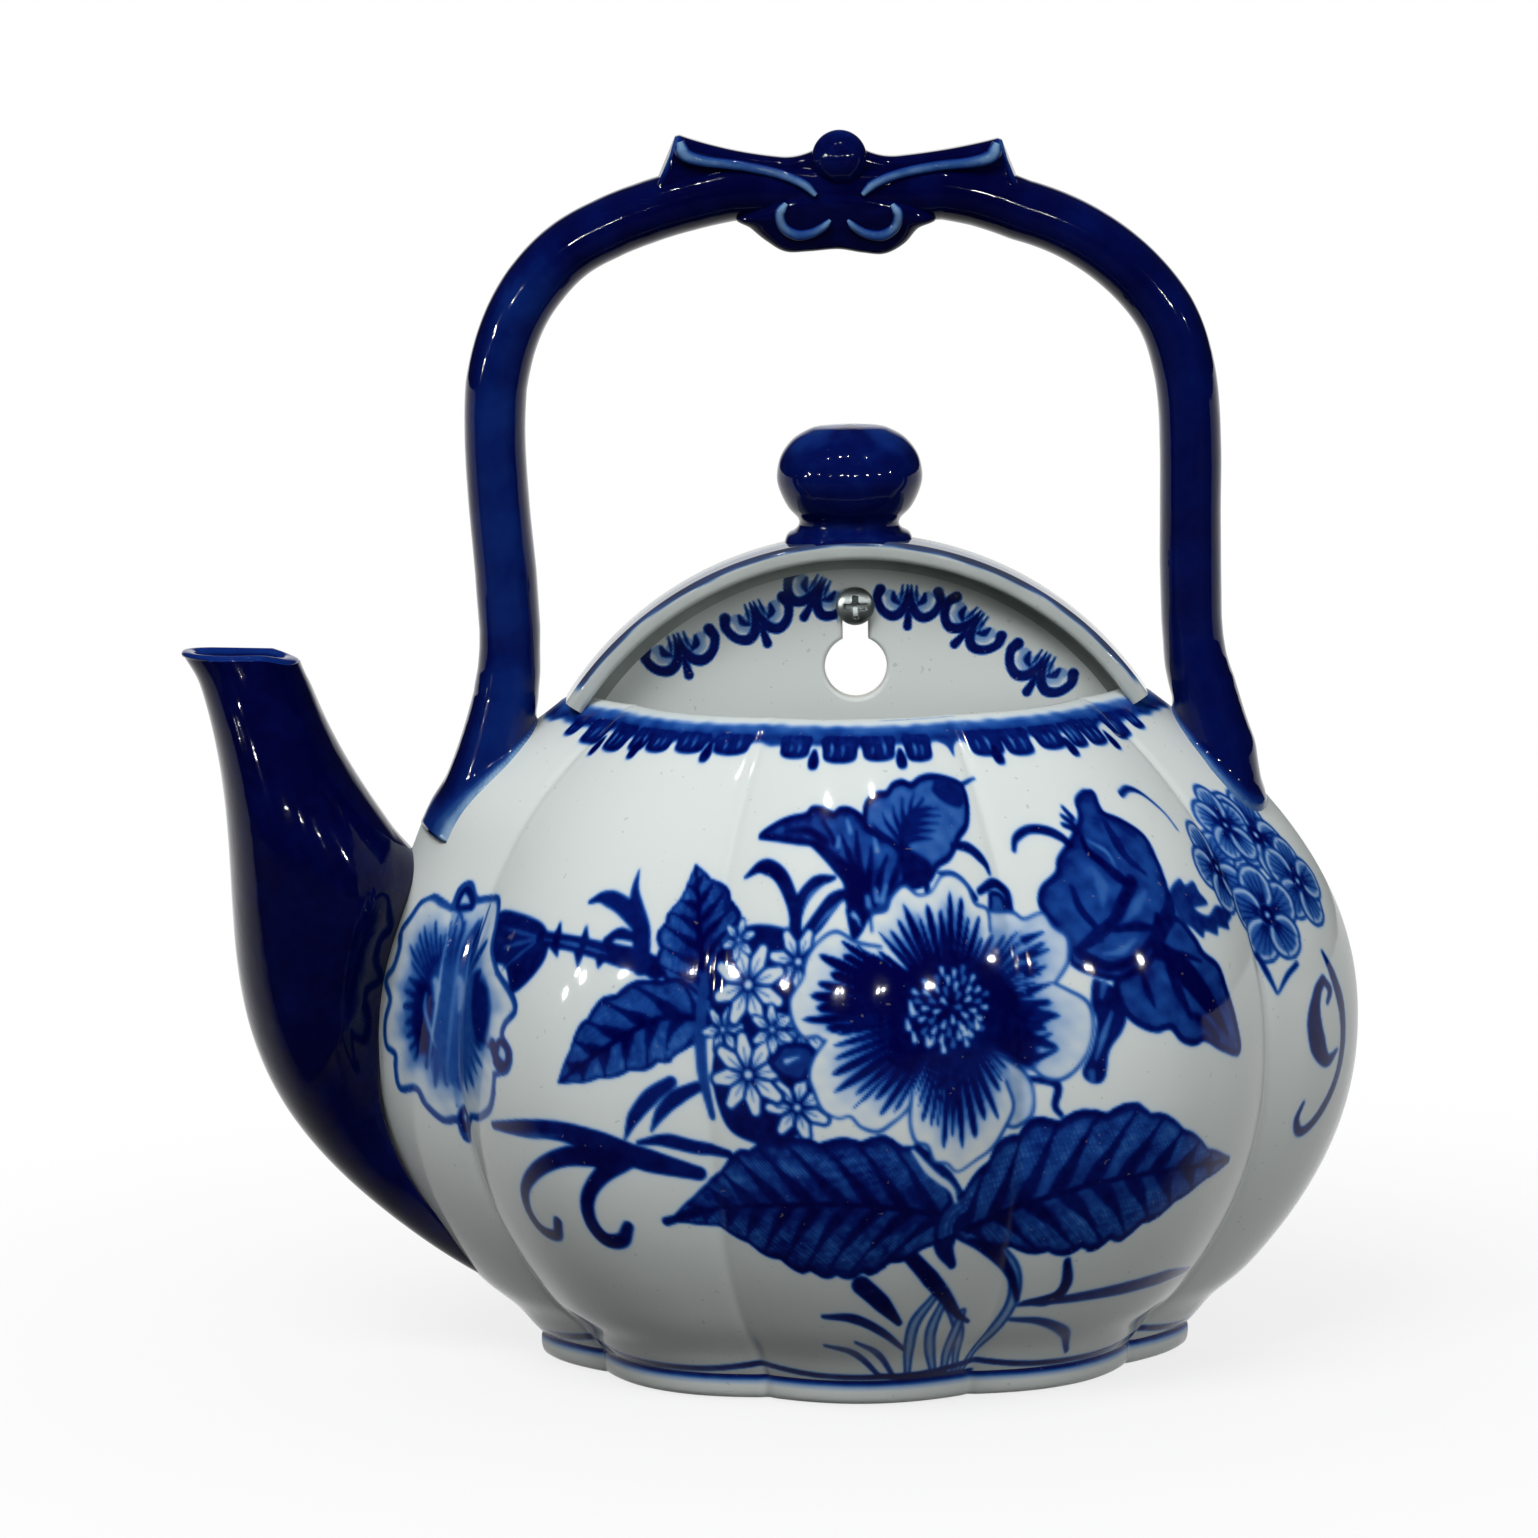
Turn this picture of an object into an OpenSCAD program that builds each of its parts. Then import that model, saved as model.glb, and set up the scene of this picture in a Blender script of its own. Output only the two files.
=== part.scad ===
// Half-teapot wall pocket: a flat-backed, melon-lobed porcelain planter that hangs
// by a keyhole on one round-headed wall screw.
// Millimetres. +X is right as seen from the room, -Y is out of the wall, +Z is up.
// The origin is on the wall plane, at the axis of the screw that the pot hangs on.

/* [Pot body] */
// Height from the foot's face to the mouth
pot_h = 142.5; // [120:0.5:170]
// Height of the belly's widest line above the foot's face
belly_h = 71.5; // [50:0.5:90]
// Half width at the belly, on the wall
belly_half = 105.5; // [92:0.5:115]
// Half width at the mouth, on the wall
mouth_half = 60; // [56:0.5:64]
// Half width at the top of the foot, on the wall
foot_half = 69; // [60:0.5:80]
// How far the belly stands out of the wall
belly_depth = 81.5; // [70:0.5:88]
// How far the mouth stands out of the wall
mouth_depth = 48; // [40:0.5:54]
// How far the foot stands out of the wall
foot_depth = 50; // [42:0.5:56]
// Roundness of the side between mouth, belly and foot
fullness = 2.12; // [1.8:0.02:2.6]
// Thickness of the lobed wall
wall = 5; // [3:0.5:7]

/* [Lobes] */
// Number of lobes in half a turn
lobes = 5; // [3:2:9]
// Depth of the creases between the lobes, as a share of the radius
crease = 0.05; // [0:0.005:0.08]
// Share of that depth left at the mouth and at the foot
crease_fade = 0.35; // [0:0.05:1]

/* [Foot] */
// Height of the foot slab
foot_h = 5.5; // [3:0.5:9]
// How far the foot draws in towards its face
foot_taper = 2; // [0:0.5:5]
// Width of the ring that the foot stands on
foot_ring = 6; // [4:0.5:10]
// Depth of the hollow inside that ring
foot_hollow = 1.5; // [0.5:0.5:2.5]

/* [Back plate] */
// Thickness of the flat back
plate_t = 5; // [4:0.5:8]
// Height of the keyhole's eye above the mouth
eye_above_mouth = 5; // [5:0.5:9]
// Diameter of the keyhole's eye
eye_d = 13; // [10:0.5:15]
// Width of the keyhole's slot
slot_w = 5.3; // [4.5:0.1:6.5]
// Distance from the eye's centre up to the centre of the slot's round end
slot_rise = 12.5; // [8:0.1:14]

/* [Lid front] */
// Radius of the lid's arched outline
lid_r = 72; // [68:0.5:85]
// Height of the lid's crown above the mouth
lid_h = 32.7; // [29:0.1:40]
// Thickness of the arched lid wall
lid_wall = 4; // [3:0.5:6]
// How far the lid wall stands out of the back plate
lid_out = 10; // [6:0.5:16]

/* [Knob] */
// Height of the knob above the lid's crown
knob_h = 23; // [16:0.5:32]
// Half width of the knob's head
knob_half = 15.2; // [10:0.1:20]
// Half width of the knob's neck
neck_half = 11.8; // [7:0.1:12]
// How far the knob stands out of the wall
knob_depth = 18; // [12:0.5:26]

/* [Spout] */
// Height of the spout's mouth above the pot's mouth
spout_above_mouth = 10.5; // [0:0.5:20]
// Width of the spout's mouth
spout_mouth_w = 23; // [16:0.5:30]
// Reach of the spout's lip from the pot's centre
spout_reach = 139.5; // [134:0.5:150]
// Depth of the spout at its mouth
spout_mouth_depth = 22; // [16:0.5:28]
// Depth of the spout where it leaves the pot
spout_root_depth = 38; // [30:0.5:44]
// Thickness of the spout's lip
spout_lip = 2.5; // [2:0.25:4]
// Depth of the dish inside the lip
spout_dish = 5; // [3:0.5:8]

/* [Handle hoop] */
// Height of the hoop's centre line above the mouth
hoop_h = 104; // [85:0.5:125]
// Half width of the hoop's centre line
hoop_half = 72.2; // [68:0.1:80]
// Width of the hoop's section
hoop_w = 12.8; // [9:0.1:16]
// Depth of the hoop's section
hoop_depth = 12; // [9:0.5:16]
// Squareness of the arch, where 2 is round
hoop_square = 3.2; // [2.2:0.1:4]
// Lean of the hand-set hoop to the left at its top
hoop_lean = 1.6; // [-3:0.1:3]
// Rise of the hoop's left side over its middle
hoop_skew = 1.6; // [-3:0.1:3]
// How far each foot of the hoop spreads outwards
hoop_spread = 5; // [0:0.5:8]

/* [Bow] */
// Radius of the round bead in the bow
bead_r = 5.7; // [4:0.1:7]
// Half length of the bow, out to the ribbon tips
bow_half = 34.5; // [28:0.5:40]
// Rise of each ribbon tip over the hoop's top
tip_rise = 6; // [2:0.1:8]
// Thickness of the ribbon's rolled edge
ribbon_d = 3; // [2:0.1:4]
// Radius of each C-shaped scroll
scroll_r = 5; // [3.5:0.1:6]
// Distance of each scroll's centre from the middle
scroll_x = 7.6; // [6.5:0.1:9]

/* [Wall screw] */
// Diameter of the screw over its thread, in the wall
shank_d = 4; // [3:0.1:4.2]
// Diameter of the plain neck under the head, where the pot hangs
neck_d = 3.6; // [2.8:0.1:3.8]
// Diameter of the screw's head
head_d = 8; // [7:0.1:9.5]
// Height of the screw's head
head_h = 2.6; // [2:0.1:3.5]
// Length of the shank inside the wall
shank_in_wall = 25; // [15:1:40]
// Gap between the head and the back plate
head_gap = 0.8; // [0.5:0.1:2]
// Gap between the neck and the top of the slot
hang_gap = 0.25; // [0.2:0.05:0.4]

/* [Hidden] */
$fn = 96;
EPS = 1;                        // overrun of a cut past the face it opens

porcelain = [0.86, 0.88, 0.87];
cobalt = [0.03, 0.06, 0.36];
steel = [0.72, 0.72, 0.74];

hang_lift = slot_rise + slot_w / 2 - neck_d / 2 - hang_gap;    // screw axis above the eye
eye_z = -hang_lift;
mouth_z = eye_z - eye_above_mouth;
foot_z = mouth_z - pot_h;
foot_top_z = foot_z + foot_h;
belly_z = foot_z + belly_h;
crown_z = mouth_z + lid_h;
lid_centre_z = crown_z - lid_r;

lobe_steps = 8;                 // facets round each lobe
level_steps = 22;               // rings between the foot and the mouth
inner_lobe_steps = 4;
inner_level_steps = 12;

// ---- skins -------------------------------------------------------------------

// A closed skin over a list of rings. Each ring runs counterclockwise as seen
// against the direction in which the rings follow each other.
module skin(rings) {
    n = len(rings[0]);
    last = len(rings) - 1;
    sides = [for (j = [0:last - 1], i = [0:n - 1])
        [j * n + i, (j + 1) * n + i, (j + 1) * n + (i + 1) % n, j * n + (i + 1) % n]];
    first_cap = [for (i = [0:n - 1]) i];
    last_cap = [for (i = [n - 1:-1:0]) last * n + i];
    polyhedron(points = [for (ring = rings) each ring], faces = concat([first_cap, last_cap], sides));
}

function mix(a, b, t) = a + (b - a) * t;
function clamp(v, low, high) = min(max(v, low), high);
function power(v, n) = sign(v) * pow(abs(v), n);
function bezier(p, t) = pow(1 - t, 3) * p[0] + 3 * pow(1 - t, 2) * t * p[1]
    + 3 * (1 - t) * t * t * p[2] + pow(t, 3) * p[3];

// How far a radius at angle a reaches between the creases, from 0 in one to 1 on a crest
function crest(a, count) = abs(sin(count * (a + 90)));

// ---- the pot's outline ---------------------------------------------------------

// 0 at the belly, 1 at the mouth and at the top of the foot
function off_belly(z) = z > belly_z ? (z - belly_z) / (mouth_z - belly_z)
    : (belly_z - z) / (belly_z - foot_top_z);
function girth(z, at_belly, at_mouth, at_foot) =
    at_belly - (at_belly - (z > belly_z ? at_mouth : at_foot)) * pow(off_belly(z), fullness);
function foot_in(z) = foot_taper * max(foot_top_z - z, 0) / foot_h;
function pot_half(z) = girth(max(z, foot_top_z), belly_half, mouth_half, foot_half) - foot_in(z);
function pot_depth(z) = girth(max(z, foot_top_z), belly_depth, mouth_depth, foot_depth) - foot_in(z);
function pot_crease(z) = crease
    * mix(crease_fade, 1, sin(180 * clamp((z - foot_top_z) / (mouth_z - foot_top_z), 0, 1)));

// Ring of the melon form at height z: the round of that half width and depth on the wall
// plane, creased between its lobes. It reaches behind the wall and is cut off there.
function pot_ring(z, inset, steps) =
    let (half = pot_half(z) - inset, depth = pot_depth(z) - inset,
         r = (half * half + depth * depth) / (2 * depth))
    [for (i = [0:lobes * steps])
        let (a = -90 + 180 * i / (lobes * steps), reach = r * (1 - pot_crease(z) * (1 - crest(a, lobes))))
        [reach * sin(a), r - depth - reach * cos(a), z]];

module pot_form() {
    skin([for (j = [0:level_steps]) pot_ring(mix(foot_top_z, mouth_z, j / level_steps), 0, lobe_steps)]);
}

module foot_form() {
    skin([for (z = [foot_z, foot_top_z]) pot_ring(z, 0, lobe_steps)]);
}

// The room inside the lobed wall, run past the mouth and the foot
module room_form() {
    skin(concat(
        [[for (p = pot_ring(foot_top_z, wall, inner_lobe_steps)) p - [0, 0, EPS]]],
        [for (j = [0:inner_level_steps])
            pot_ring(mix(foot_top_z, mouth_z, j / inner_level_steps), wall, inner_lobe_steps)],
        [[for (p = pot_ring(mouth_z, wall, inner_lobe_steps)) p + [0, 0, EPS]]]));
}

// Keeps what lies between two planes parallel to the wall
module between(from_y, to_y) {
    intersection() {
        children();
        translate([-belly_half * 2, from_y, foot_z - pot_h])
            cube([belly_half * 4, to_y - from_y, pot_h * 4]);
    }
}

module along_y(from_y, to_y) {
    translate([0, to_y, 0]) rotate([90, 0, 0]) linear_extrude(to_y - from_y) children();
}

module lid_outline(radius) {
    intersection() {
        translate([0, lid_centre_z]) circle(radius);
        translate([-lid_r, mouth_z]) square([2 * lid_r, lid_h + EPS]);
    }
}

// ---- pot ---------------------------------------------------------------------

module back_plate() {
    color(porcelain) difference() {
        union() {
            between(-plate_t, 0) pot_form();
            between(-plate_t, 0) foot_form();
            along_y(-plate_t, 0) lid_outline(lid_r);
        }
        translate([0, 0, eye_z]) keyhole();
    }
}

module keyhole() {
    along_y(-plate_t - EPS, EPS) circle(d = eye_d);
    along_y(-plate_t - EPS, EPS) translate([0, slot_rise]) circle(d = slot_w);
    along_y(-plate_t - EPS, EPS) translate([-slot_w / 2, 0]) square([slot_w, slot_rise]);
}

module pocket_wall() {
    color(porcelain) between(-belly_depth - EPS, -plate_t) difference() {
        pot_form();
        room_form();
    }
}

module foot() {
    color(porcelain) difference() {
        between(-foot_depth - EPS, -plate_t) foot_form();
        between(-foot_depth, -plate_t - foot_ring) skin([for (z = [foot_z - EPS, foot_z + foot_hollow])
            pot_ring(z, foot_ring, inner_lobe_steps)]);
    }
}

module lid_wall_arch() {
    color(porcelain) along_y(-plate_t - lid_out, -plate_t) difference() {
        lid_outline(lid_r);
        translate([0, -EPS]) lid_outline(lid_r - lid_wall);
        translate([-lid_r, mouth_z - EPS]) square([2 * lid_r, EPS]);
    }
}

// ---- knob --------------------------------------------------------------------

knob_lobes = 2;
knob_rise = 0.1;
knob_levels = 20;
knob_steps = 24;
knob_sink = 6;                  // start of the neck below the crown, before it is cut to the lid
neck_flare = 2.5;               // spread of the neck where it meets the lid
head_share = 0.46;              // half height of the knob's head over its whole height

function knob_head(z) = let (c = crown_z + knob_h * (1 - head_share),
                             t = clamp(abs(z - c) / (knob_h * head_share), 0, 1))
    knob_half * pow(1 - pow(t, 2.4), 1 / 2.4);
function knob_neck(z) = let (t = clamp((z - crown_z) / (knob_h * 0.3), 0, 1))
    neck_half + neck_flare * pow(1 - t, 3);
function knob_width(z) = z < crown_z + knob_h / 2 ? max(knob_head(z), knob_neck(z)) : knob_head(z);

module lid_knob() {
    color(cobalt) difference() {
        skin([for (j = [0:knob_levels])
            let (t = j / knob_levels,
                 z = mix(crown_z - knob_sink, crown_z + knob_h - 0.3, 1 - pow(1 - t, 1.6)),
                 w = knob_width(z))
            [for (i = [0:knob_steps]) let (a = -90 + 180 * i / knob_steps,
                 reach = w * (1 + knob_rise * crest(a, knob_lobes)))
                [reach * sin(a), -reach * cos(a) * knob_depth / knob_half, z]]]);
        along_y(-2 * knob_depth, EPS) translate([0, lid_centre_z]) circle(lid_r);
    }
}

// ---- sweeps ------------------------------------------------------------------

edge = 2.5;                     // rounding of the back edges of handle and spout

// A half-oval section of width w and depth d, flat towards the wall with eased edges.
// Its middle is at p, its width runs along side and its depth along -Y.
function half_oval(p, side, w, d, steps) = concat(
    [p - side * (w / 2 - edge), p - side * (w / 2 - 0.3 * edge) - [0, 0.3 * edge, 0]],
    [for (i = [0:steps]) let (a = -90 + 180 * i / steps)
        p + side * (w / 2) * power(sin(a), 0.85) - [0, edge + (d - edge) * power(cos(a), 0.85), 0]],
    [p + side * (w / 2 - 0.3 * edge) - [0, 0.3 * edge, 0], p + side * (w / 2 - edge)]);

// ---- spout -------------------------------------------------------------------

spout_top_z = mouth_z + spout_above_mouth;
// The spout's outer and inner edges on the wall plane, from root to mouth
spout_outer = [[-0.985 * foot_half, 0, foot_z + 0.077 * pot_h],
               [-1.133 * spout_reach, 0, foot_z + 0.449 * pot_h],
               [-0.846 * spout_reach, 0, belly_z + 0.168 * pot_h],
               [-spout_reach, 0, spout_top_z]];
spout_inner = [[-0.53 * belly_half, 0, belly_z - 0.253 * pot_h],
               [-0.758 * belly_half, 0, belly_z + 0.253 * pot_h],
               [-spout_reach + 1.5 * spout_mouth_w, 0, mouth_z - 0.232 * pot_h],
               [-spout_reach + spout_mouth_w, 0, spout_top_z]];
spout_rings = 26;
spout_steps = 16;
spout_over = 0.04;              // run of the skin past the mouth, before it is cut level

function spout_depth(t) = mix(spout_root_depth, spout_mouth_depth, pow(min(t, 1), 0.8))
    * sqrt(min(1, 0.1 + 3 * t));    // thins to nothing where it grows out of the foot

module spout_solid(inset, from_t, rings, steps) {
    skin([for (j = [0:rings])
        let (t = mix(from_t, 1 + spout_over, j / rings), outer = bezier(spout_outer, t),
             inner = bezier(spout_inner, t), w = norm(inner - outer), d = spout_depth(t))
        half_oval((outer + inner) / 2 - [0, inset, 0], (inner - outer) / w, w - 2 * inset,
                  d - 2 * inset, steps)]);
}

module spout() {
    color(cobalt) difference() {
        spout_solid(0, 0, spout_rings, spout_steps);
        translate([-2 * spout_reach, -spout_root_depth * 2, spout_top_z])
            cube([2 * spout_reach, spout_root_depth * 3, pot_h]);
        spout_dish_cut();
        pot_form();
    }
}

// The dish inside the spout's lip
module spout_dish_cut() {
    intersection() {
        spout_solid(spout_lip, 0.8, 6, 12);
        translate([-2 * spout_reach, -spout_root_depth, spout_top_z - spout_dish])
            cube([2 * spout_reach, spout_root_depth, 2 * spout_dish]);
    }
}

// ---- handle hoop -------------------------------------------------------------

hoop_top_z = mouth_z + hoop_h;
arch_z = mouth_z + hoop_h * 0.34;   // where the straight legs turn into the arch
hoop_low_z = mouth_z - 30;          // end of the legs before they are cut to the shoulder
arch_steps = 28;
leg_steps = 5;
hoop_steps = 16;

function leg_x(z) = let (t = clamp((mouth_z + 18 - z) / 40, 0, 2)) hoop_half + hoop_spread * t * t;
hoop_arch = [for (i = [1:arch_steps - 1]) let (a = 180 - 180 * i / arch_steps)
    [hoop_half * power(cos(a), 2 / hoop_square), 0,
     arch_z + (hoop_top_z - arch_z) * pow(sin(a), 2 / hoop_square)]];
hoop_leg = [for (i = [0:leg_steps]) let (z = mix(hoop_low_z, arch_z, i / leg_steps)) [-leg_x(z), 0, z]];
even_line = concat(hoop_leg, hoop_arch,
                   [for (i = [leg_steps:-1:0]) [-hoop_leg[i][0], 0, hoop_leg[i][2]]]);
// The hoop as it stands: leaned and skewed more the higher it is above the mouth
hoop_line = [for (p = even_line) let (h = max(p[2] - mouth_z, 0) / hoop_h)
    [p[0] - hoop_lean * sqrt(h), 0, p[2] - hoop_skew * h * p[0] / hoop_half]];
function line_side(i) = let (d = hoop_line[min(i + 1, len(hoop_line) - 1)] - hoop_line[max(i - 1, 0)])
    [d[2], 0, -d[0]] / norm(d);
function foot_swell(z) = 1 + 0.25 * clamp((mouth_z + 10 - z) / 40, 0, 1);

// The hoop's rings that lie within reach of the middle
module hoop_solid(reach) {
    skin([for (i = [0:len(hoop_line) - 1])
        let (p = hoop_line[i])
        if (abs(p[0]) < reach)
            half_oval(p, line_side(i), hoop_w * foot_swell(p[2]), hoop_depth * foot_swell(p[2]),
                      hoop_steps)]);
}

module handle_hoop() {
    color(cobalt) difference() {
        hoop_solid(belly_half);
        pot_form();
    }
}

// ---- bow ---------------------------------------------------------------------

bow_top_z = hoop_top_z + hoop_w / 2;        // top face of the hoop behind the bow
bow_front = hoop_depth * 0.9;               // depth at which the sprigs are pressed on
bead_z = bow_top_z + bead_r / 6;
ribbon_steps = 12;
seat_gap = 0.3;                             // room between the bead and each ribbon
ribbon_root = [bead_r * 0.8, 0, hoop_top_z];
ribbon_mid = [bow_half * 0.35, 0, bow_top_z - 3];
ribbon_bend = [bow_half * 0.85, 0, bow_top_z - 3];
ribbon_tip = [bow_half, 0, bow_top_z + tip_rise - ribbon_d / 2];

// Puts the bow's pieces, drawn about the middle, on the hoop as it stands
module on_bow() {
    translate([-hoop_lean, 0, hoop_top_z]) rotate([0, atan(hoop_skew / hoop_half), 0])
        translate([0, 0, -hoop_top_z]) children();
}

// One applied ribbon: a rolled edge on a thin wing that stands above the hoop, cut to
// sit on the hoop and clear of the bead
module ribbon(side) {
    color(cobalt) difference() {
        on_bow() mirror([side < 0 ? 1 : 0, 0, 0]) {
            along_y(-bow_front, -bow_front / 3) polygon([
                [ribbon_root[0], ribbon_root[2]],
                [bow_half + ribbon_d / 2, hoop_top_z],
                [bow_half + ribbon_d / 3, bow_top_z + tip_rise],
                [bow_half * 0.65, bow_top_z + tip_rise * 0.35],
                [bead_r + seat_gap, bow_top_z + tip_rise * 0.1]]);
            ribbon_edge();
        }
        hoop_solid(bow_half + hoop_w);
    }
}

module ribbon_edge() {
    path = [ribbon_root, ribbon_mid, ribbon_bend, ribbon_tip];
    skin([for (j = [0:ribbon_steps])
        let (t = j / ribbon_steps, p = bezier(path, t),
             d = bezier(path, min(t + 0.02, 1)) - bezier(path, max(t - 0.02, 0)),
             side = [d[2], 0, -d[0]] / norm(d), r = ribbon_d / 2 * mix(0.6, 1, t))
        [for (i = [0:9]) p + side * r * cos(36 * i) + [0, r * sin(36 * i) - bow_front, 0]]]);
}

module ribbon_right() {
    ribbon(1);
}

module ribbon_left() {
    ribbon(-1);
}

scroll_z = hoop_top_z - hoop_w / 2 + 1;     // height of the scroll centres
scroll_wire = 1.3;                          // radius of each scroll's raised line
sprig_low_z = scroll_z - scroll_r - scroll_wire;
sprig_high_z = hoop_top_z - ribbon_d / 2;   // stays under the ribbons

// The block of scrollwork under the bow, cut to sit on the hoop
module scroll_sprig() {
    color(cobalt) difference() {
        on_bow() {
            along_y(-bow_front, -bow_front / 4) difference() {
                union() {
                    polygon([[-2.5 * scroll_x, scroll_z], [-scroll_x - scroll_r / 2, sprig_low_z],
                             [scroll_x + scroll_r / 2, sprig_low_z], [2.5 * scroll_x, scroll_z]]);
                    for (side = [-1, 1])
                        translate([side * scroll_x, scroll_z]) circle(scroll_r + scroll_wire);
                }
                translate([-2 * scroll_x, sprig_high_z]) square([4 * scroll_x, scroll_r]);
            }
            for (side = [0, 1])
                mirror([side, 0, 0]) translate([scroll_x, -bow_front, scroll_z]) scroll_line();
        }
        hoop_solid(bow_half + hoop_w);
    }
}

// The raised C of one scroll, open towards the top and the middle
module scroll_line() {
    rotate([90, 0, 0]) rotate([0, 0, -164]) rotate_extrude(angle = 195)
        translate([scroll_r, 0]) circle(scroll_wire);
}

module bow_bead() {
    color(cobalt) difference() {
        on_bow() translate([0, -bow_front + bead_r / 3, bead_z]) sphere(bead_r);
        hoop_solid(bow_half + hoop_w);
    }
}

// ---- wall screw --------------------------------------------------------------

head_y = -plate_t - head_gap;               // under side of the head
head_dome_r = head_d * 0.62;
cross_w = head_d * 0.14;
cross_l = head_d * 0.55;

module wall_screw() {
    color(steel) difference() {
        union() {
            along_y(0, shank_in_wall) circle(d = shank_d);
            along_y(head_y, EPS) circle(d = neck_d);
            translate([0, head_y, 0]) rotate([90, 0, 0]) intersection() {
                cylinder(d = head_d, h = head_h);
                translate([0, 0, head_h - head_dome_r]) sphere(head_dome_r);
            }
        }
        for (a = [0, 90])
            translate([0, head_y - head_h, 0]) rotate([0, a, 0])
                cube([cross_l, head_h, cross_w], center = true);
    }
}

back_plate();
pocket_wall();
foot();
lid_wall_arch();
lid_knob();
spout();
handle_hoop();
ribbon_left();
ribbon_right();
scroll_sprig();
bow_bead();
wall_screw();
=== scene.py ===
"""Looks of a teapot-shaped wall pocket in blue and white porcelain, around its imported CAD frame."""
import math

import bpy
import numpy as np
from mathutils import Matrix, Vector
from mathutils.geometry import delaunay_2d_cdt


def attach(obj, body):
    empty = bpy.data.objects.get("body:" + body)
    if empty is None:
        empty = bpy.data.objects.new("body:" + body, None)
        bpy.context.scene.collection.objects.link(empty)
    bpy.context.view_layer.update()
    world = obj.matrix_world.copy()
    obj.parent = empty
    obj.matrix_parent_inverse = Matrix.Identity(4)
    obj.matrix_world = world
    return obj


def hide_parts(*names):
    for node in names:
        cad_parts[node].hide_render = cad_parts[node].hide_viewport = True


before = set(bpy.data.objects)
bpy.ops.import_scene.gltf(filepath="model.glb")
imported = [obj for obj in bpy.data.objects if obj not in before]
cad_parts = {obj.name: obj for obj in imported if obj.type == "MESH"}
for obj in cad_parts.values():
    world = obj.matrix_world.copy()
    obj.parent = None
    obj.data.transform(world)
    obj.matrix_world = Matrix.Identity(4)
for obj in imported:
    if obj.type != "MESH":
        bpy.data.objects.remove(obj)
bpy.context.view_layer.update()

# ---- the part's own sizes, in millimetres, named as in its source ------------

POT_H, BELLY_H, BELLY_HALF, MOUTH_HALF, FOOT_HALF = 142.5, 71.5, 105.5, 60, 69
BELLY_DEPTH, MOUTH_DEPTH, FOOT_DEPTH, FULLNESS, WALL = 81.5, 48, 50, 2.12, 5
LOBES, CREASE, CREASE_FADE, CREASE_LOW = 5, 0.05, 0.55, 1.0
FOOT_H, FOOT_TAPER = 5.5, 2
PLATE_T, EYE_D, SLOT_W, SLOT_RISE = 5, 13, 5.3, 12.5
LID_R, LID_H, LID_WALL, LID_OUT = 72, 32.7, 4, 10
KNOB_H, KNOB_HALF, NECK_HALF, KNOB_DEPTH = 23, 15.2, 11.8, 18
SPOUT_REACH, SPOUT_MOUTH_W, SPOUT_LIP, SPOUT_DISH = 139.5, 23, 2.5, 5
HOOP_H, HOOP_HALF, HOOP_W, HOOP_DEPTH = 104, 72.2, 12.8, 12
HOOP_SQUARE, HOOP_LEAN, HOOP_SKEW, HOOP_SPREAD = 3.2, 1.6, 1.6, 5
BEAD_R, BOW_HALF, TIP_RISE = 5.7, 34.5, 6
NECK_D, HEAD_H, SHANK_IN_WALL, HEAD_GAP = 3.6, 2.6, 25, 0.8

EYE_Z = -13.1
MOUTH_Z = EYE_Z - 5
FOOT_Z = MOUTH_Z - POT_H
FOOT_TOP_Z = FOOT_Z + FOOT_H
BELLY_Z = FOOT_Z + BELLY_H
CROWN_Z = MOUTH_Z + LID_H
LID_CENTRE_Z = CROWN_Z - LID_R
LID_FRONT = -PLATE_T - LID_OUT
SPOUT_TOP_Z = MOUTH_Z + 10.5
HOOP_TOP_Z = MOUTH_Z + HOOP_H
ARCH_Z = MOUTH_Z + 0.34 * HOOP_H
BOW_TOP_Z = HOOP_TOP_Z + HOOP_W / 2
BOW_FRONT = 0.9 * HOOP_DEPTH
BEAD_Z = BOW_TOP_Z + BEAD_R / 6

GRAIN = 0.45        # spacing of the painted skin's points
SKIN_SPAN = 290     # length of the skin round the belly from wall to wall
PAINTED_LIP = 5     # rows of the lip that the painting runs over
ROUND = 2.2         # rounding of the pot's lip
UV_EDGE = 0.003     # margin of the surface map
MM = 0.001

# ---- small maths -------------------------------------------------------------


def mix(a, b, t):
    return a + (b - a) * t


def ramp(t, low, high):
    """0 at low, 1 at high, eased between."""
    s = np.clip((t - low) / (high - low), 0, 1)
    return s * s * (3 - 2 * s)


def power(v, n):
    return np.sign(v) * np.abs(v) ** n


def unit(v):
    return v / np.maximum(np.linalg.norm(v, axis=-1, keepdims=True), 1e-9)


def cloud(x, y, z):
    """Points from their coordinates, each a number or an array, spread over one another."""
    return np.stack(np.broadcast_arrays(x, y, z), -1).astype(float)


def full_turn(count):
    return np.linspace(0, 2 * np.pi, count, endpoint=False)


def run_of(steps):
    """How far along its line each point lies, from the lengths between them."""
    return np.concatenate([[0], np.cumsum(steps)])


def bezier(points, t):
    """Points of a cubic bezier at each t."""
    a, b, c, d = [np.array(p, float) for p in points]
    t = np.asarray(t, float)[:, None]
    return (1 - t) ** 3 * a + 3 * (1 - t) ** 2 * t * b + 3 * (1 - t) * t * t * c + t ** 3 * d


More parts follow.
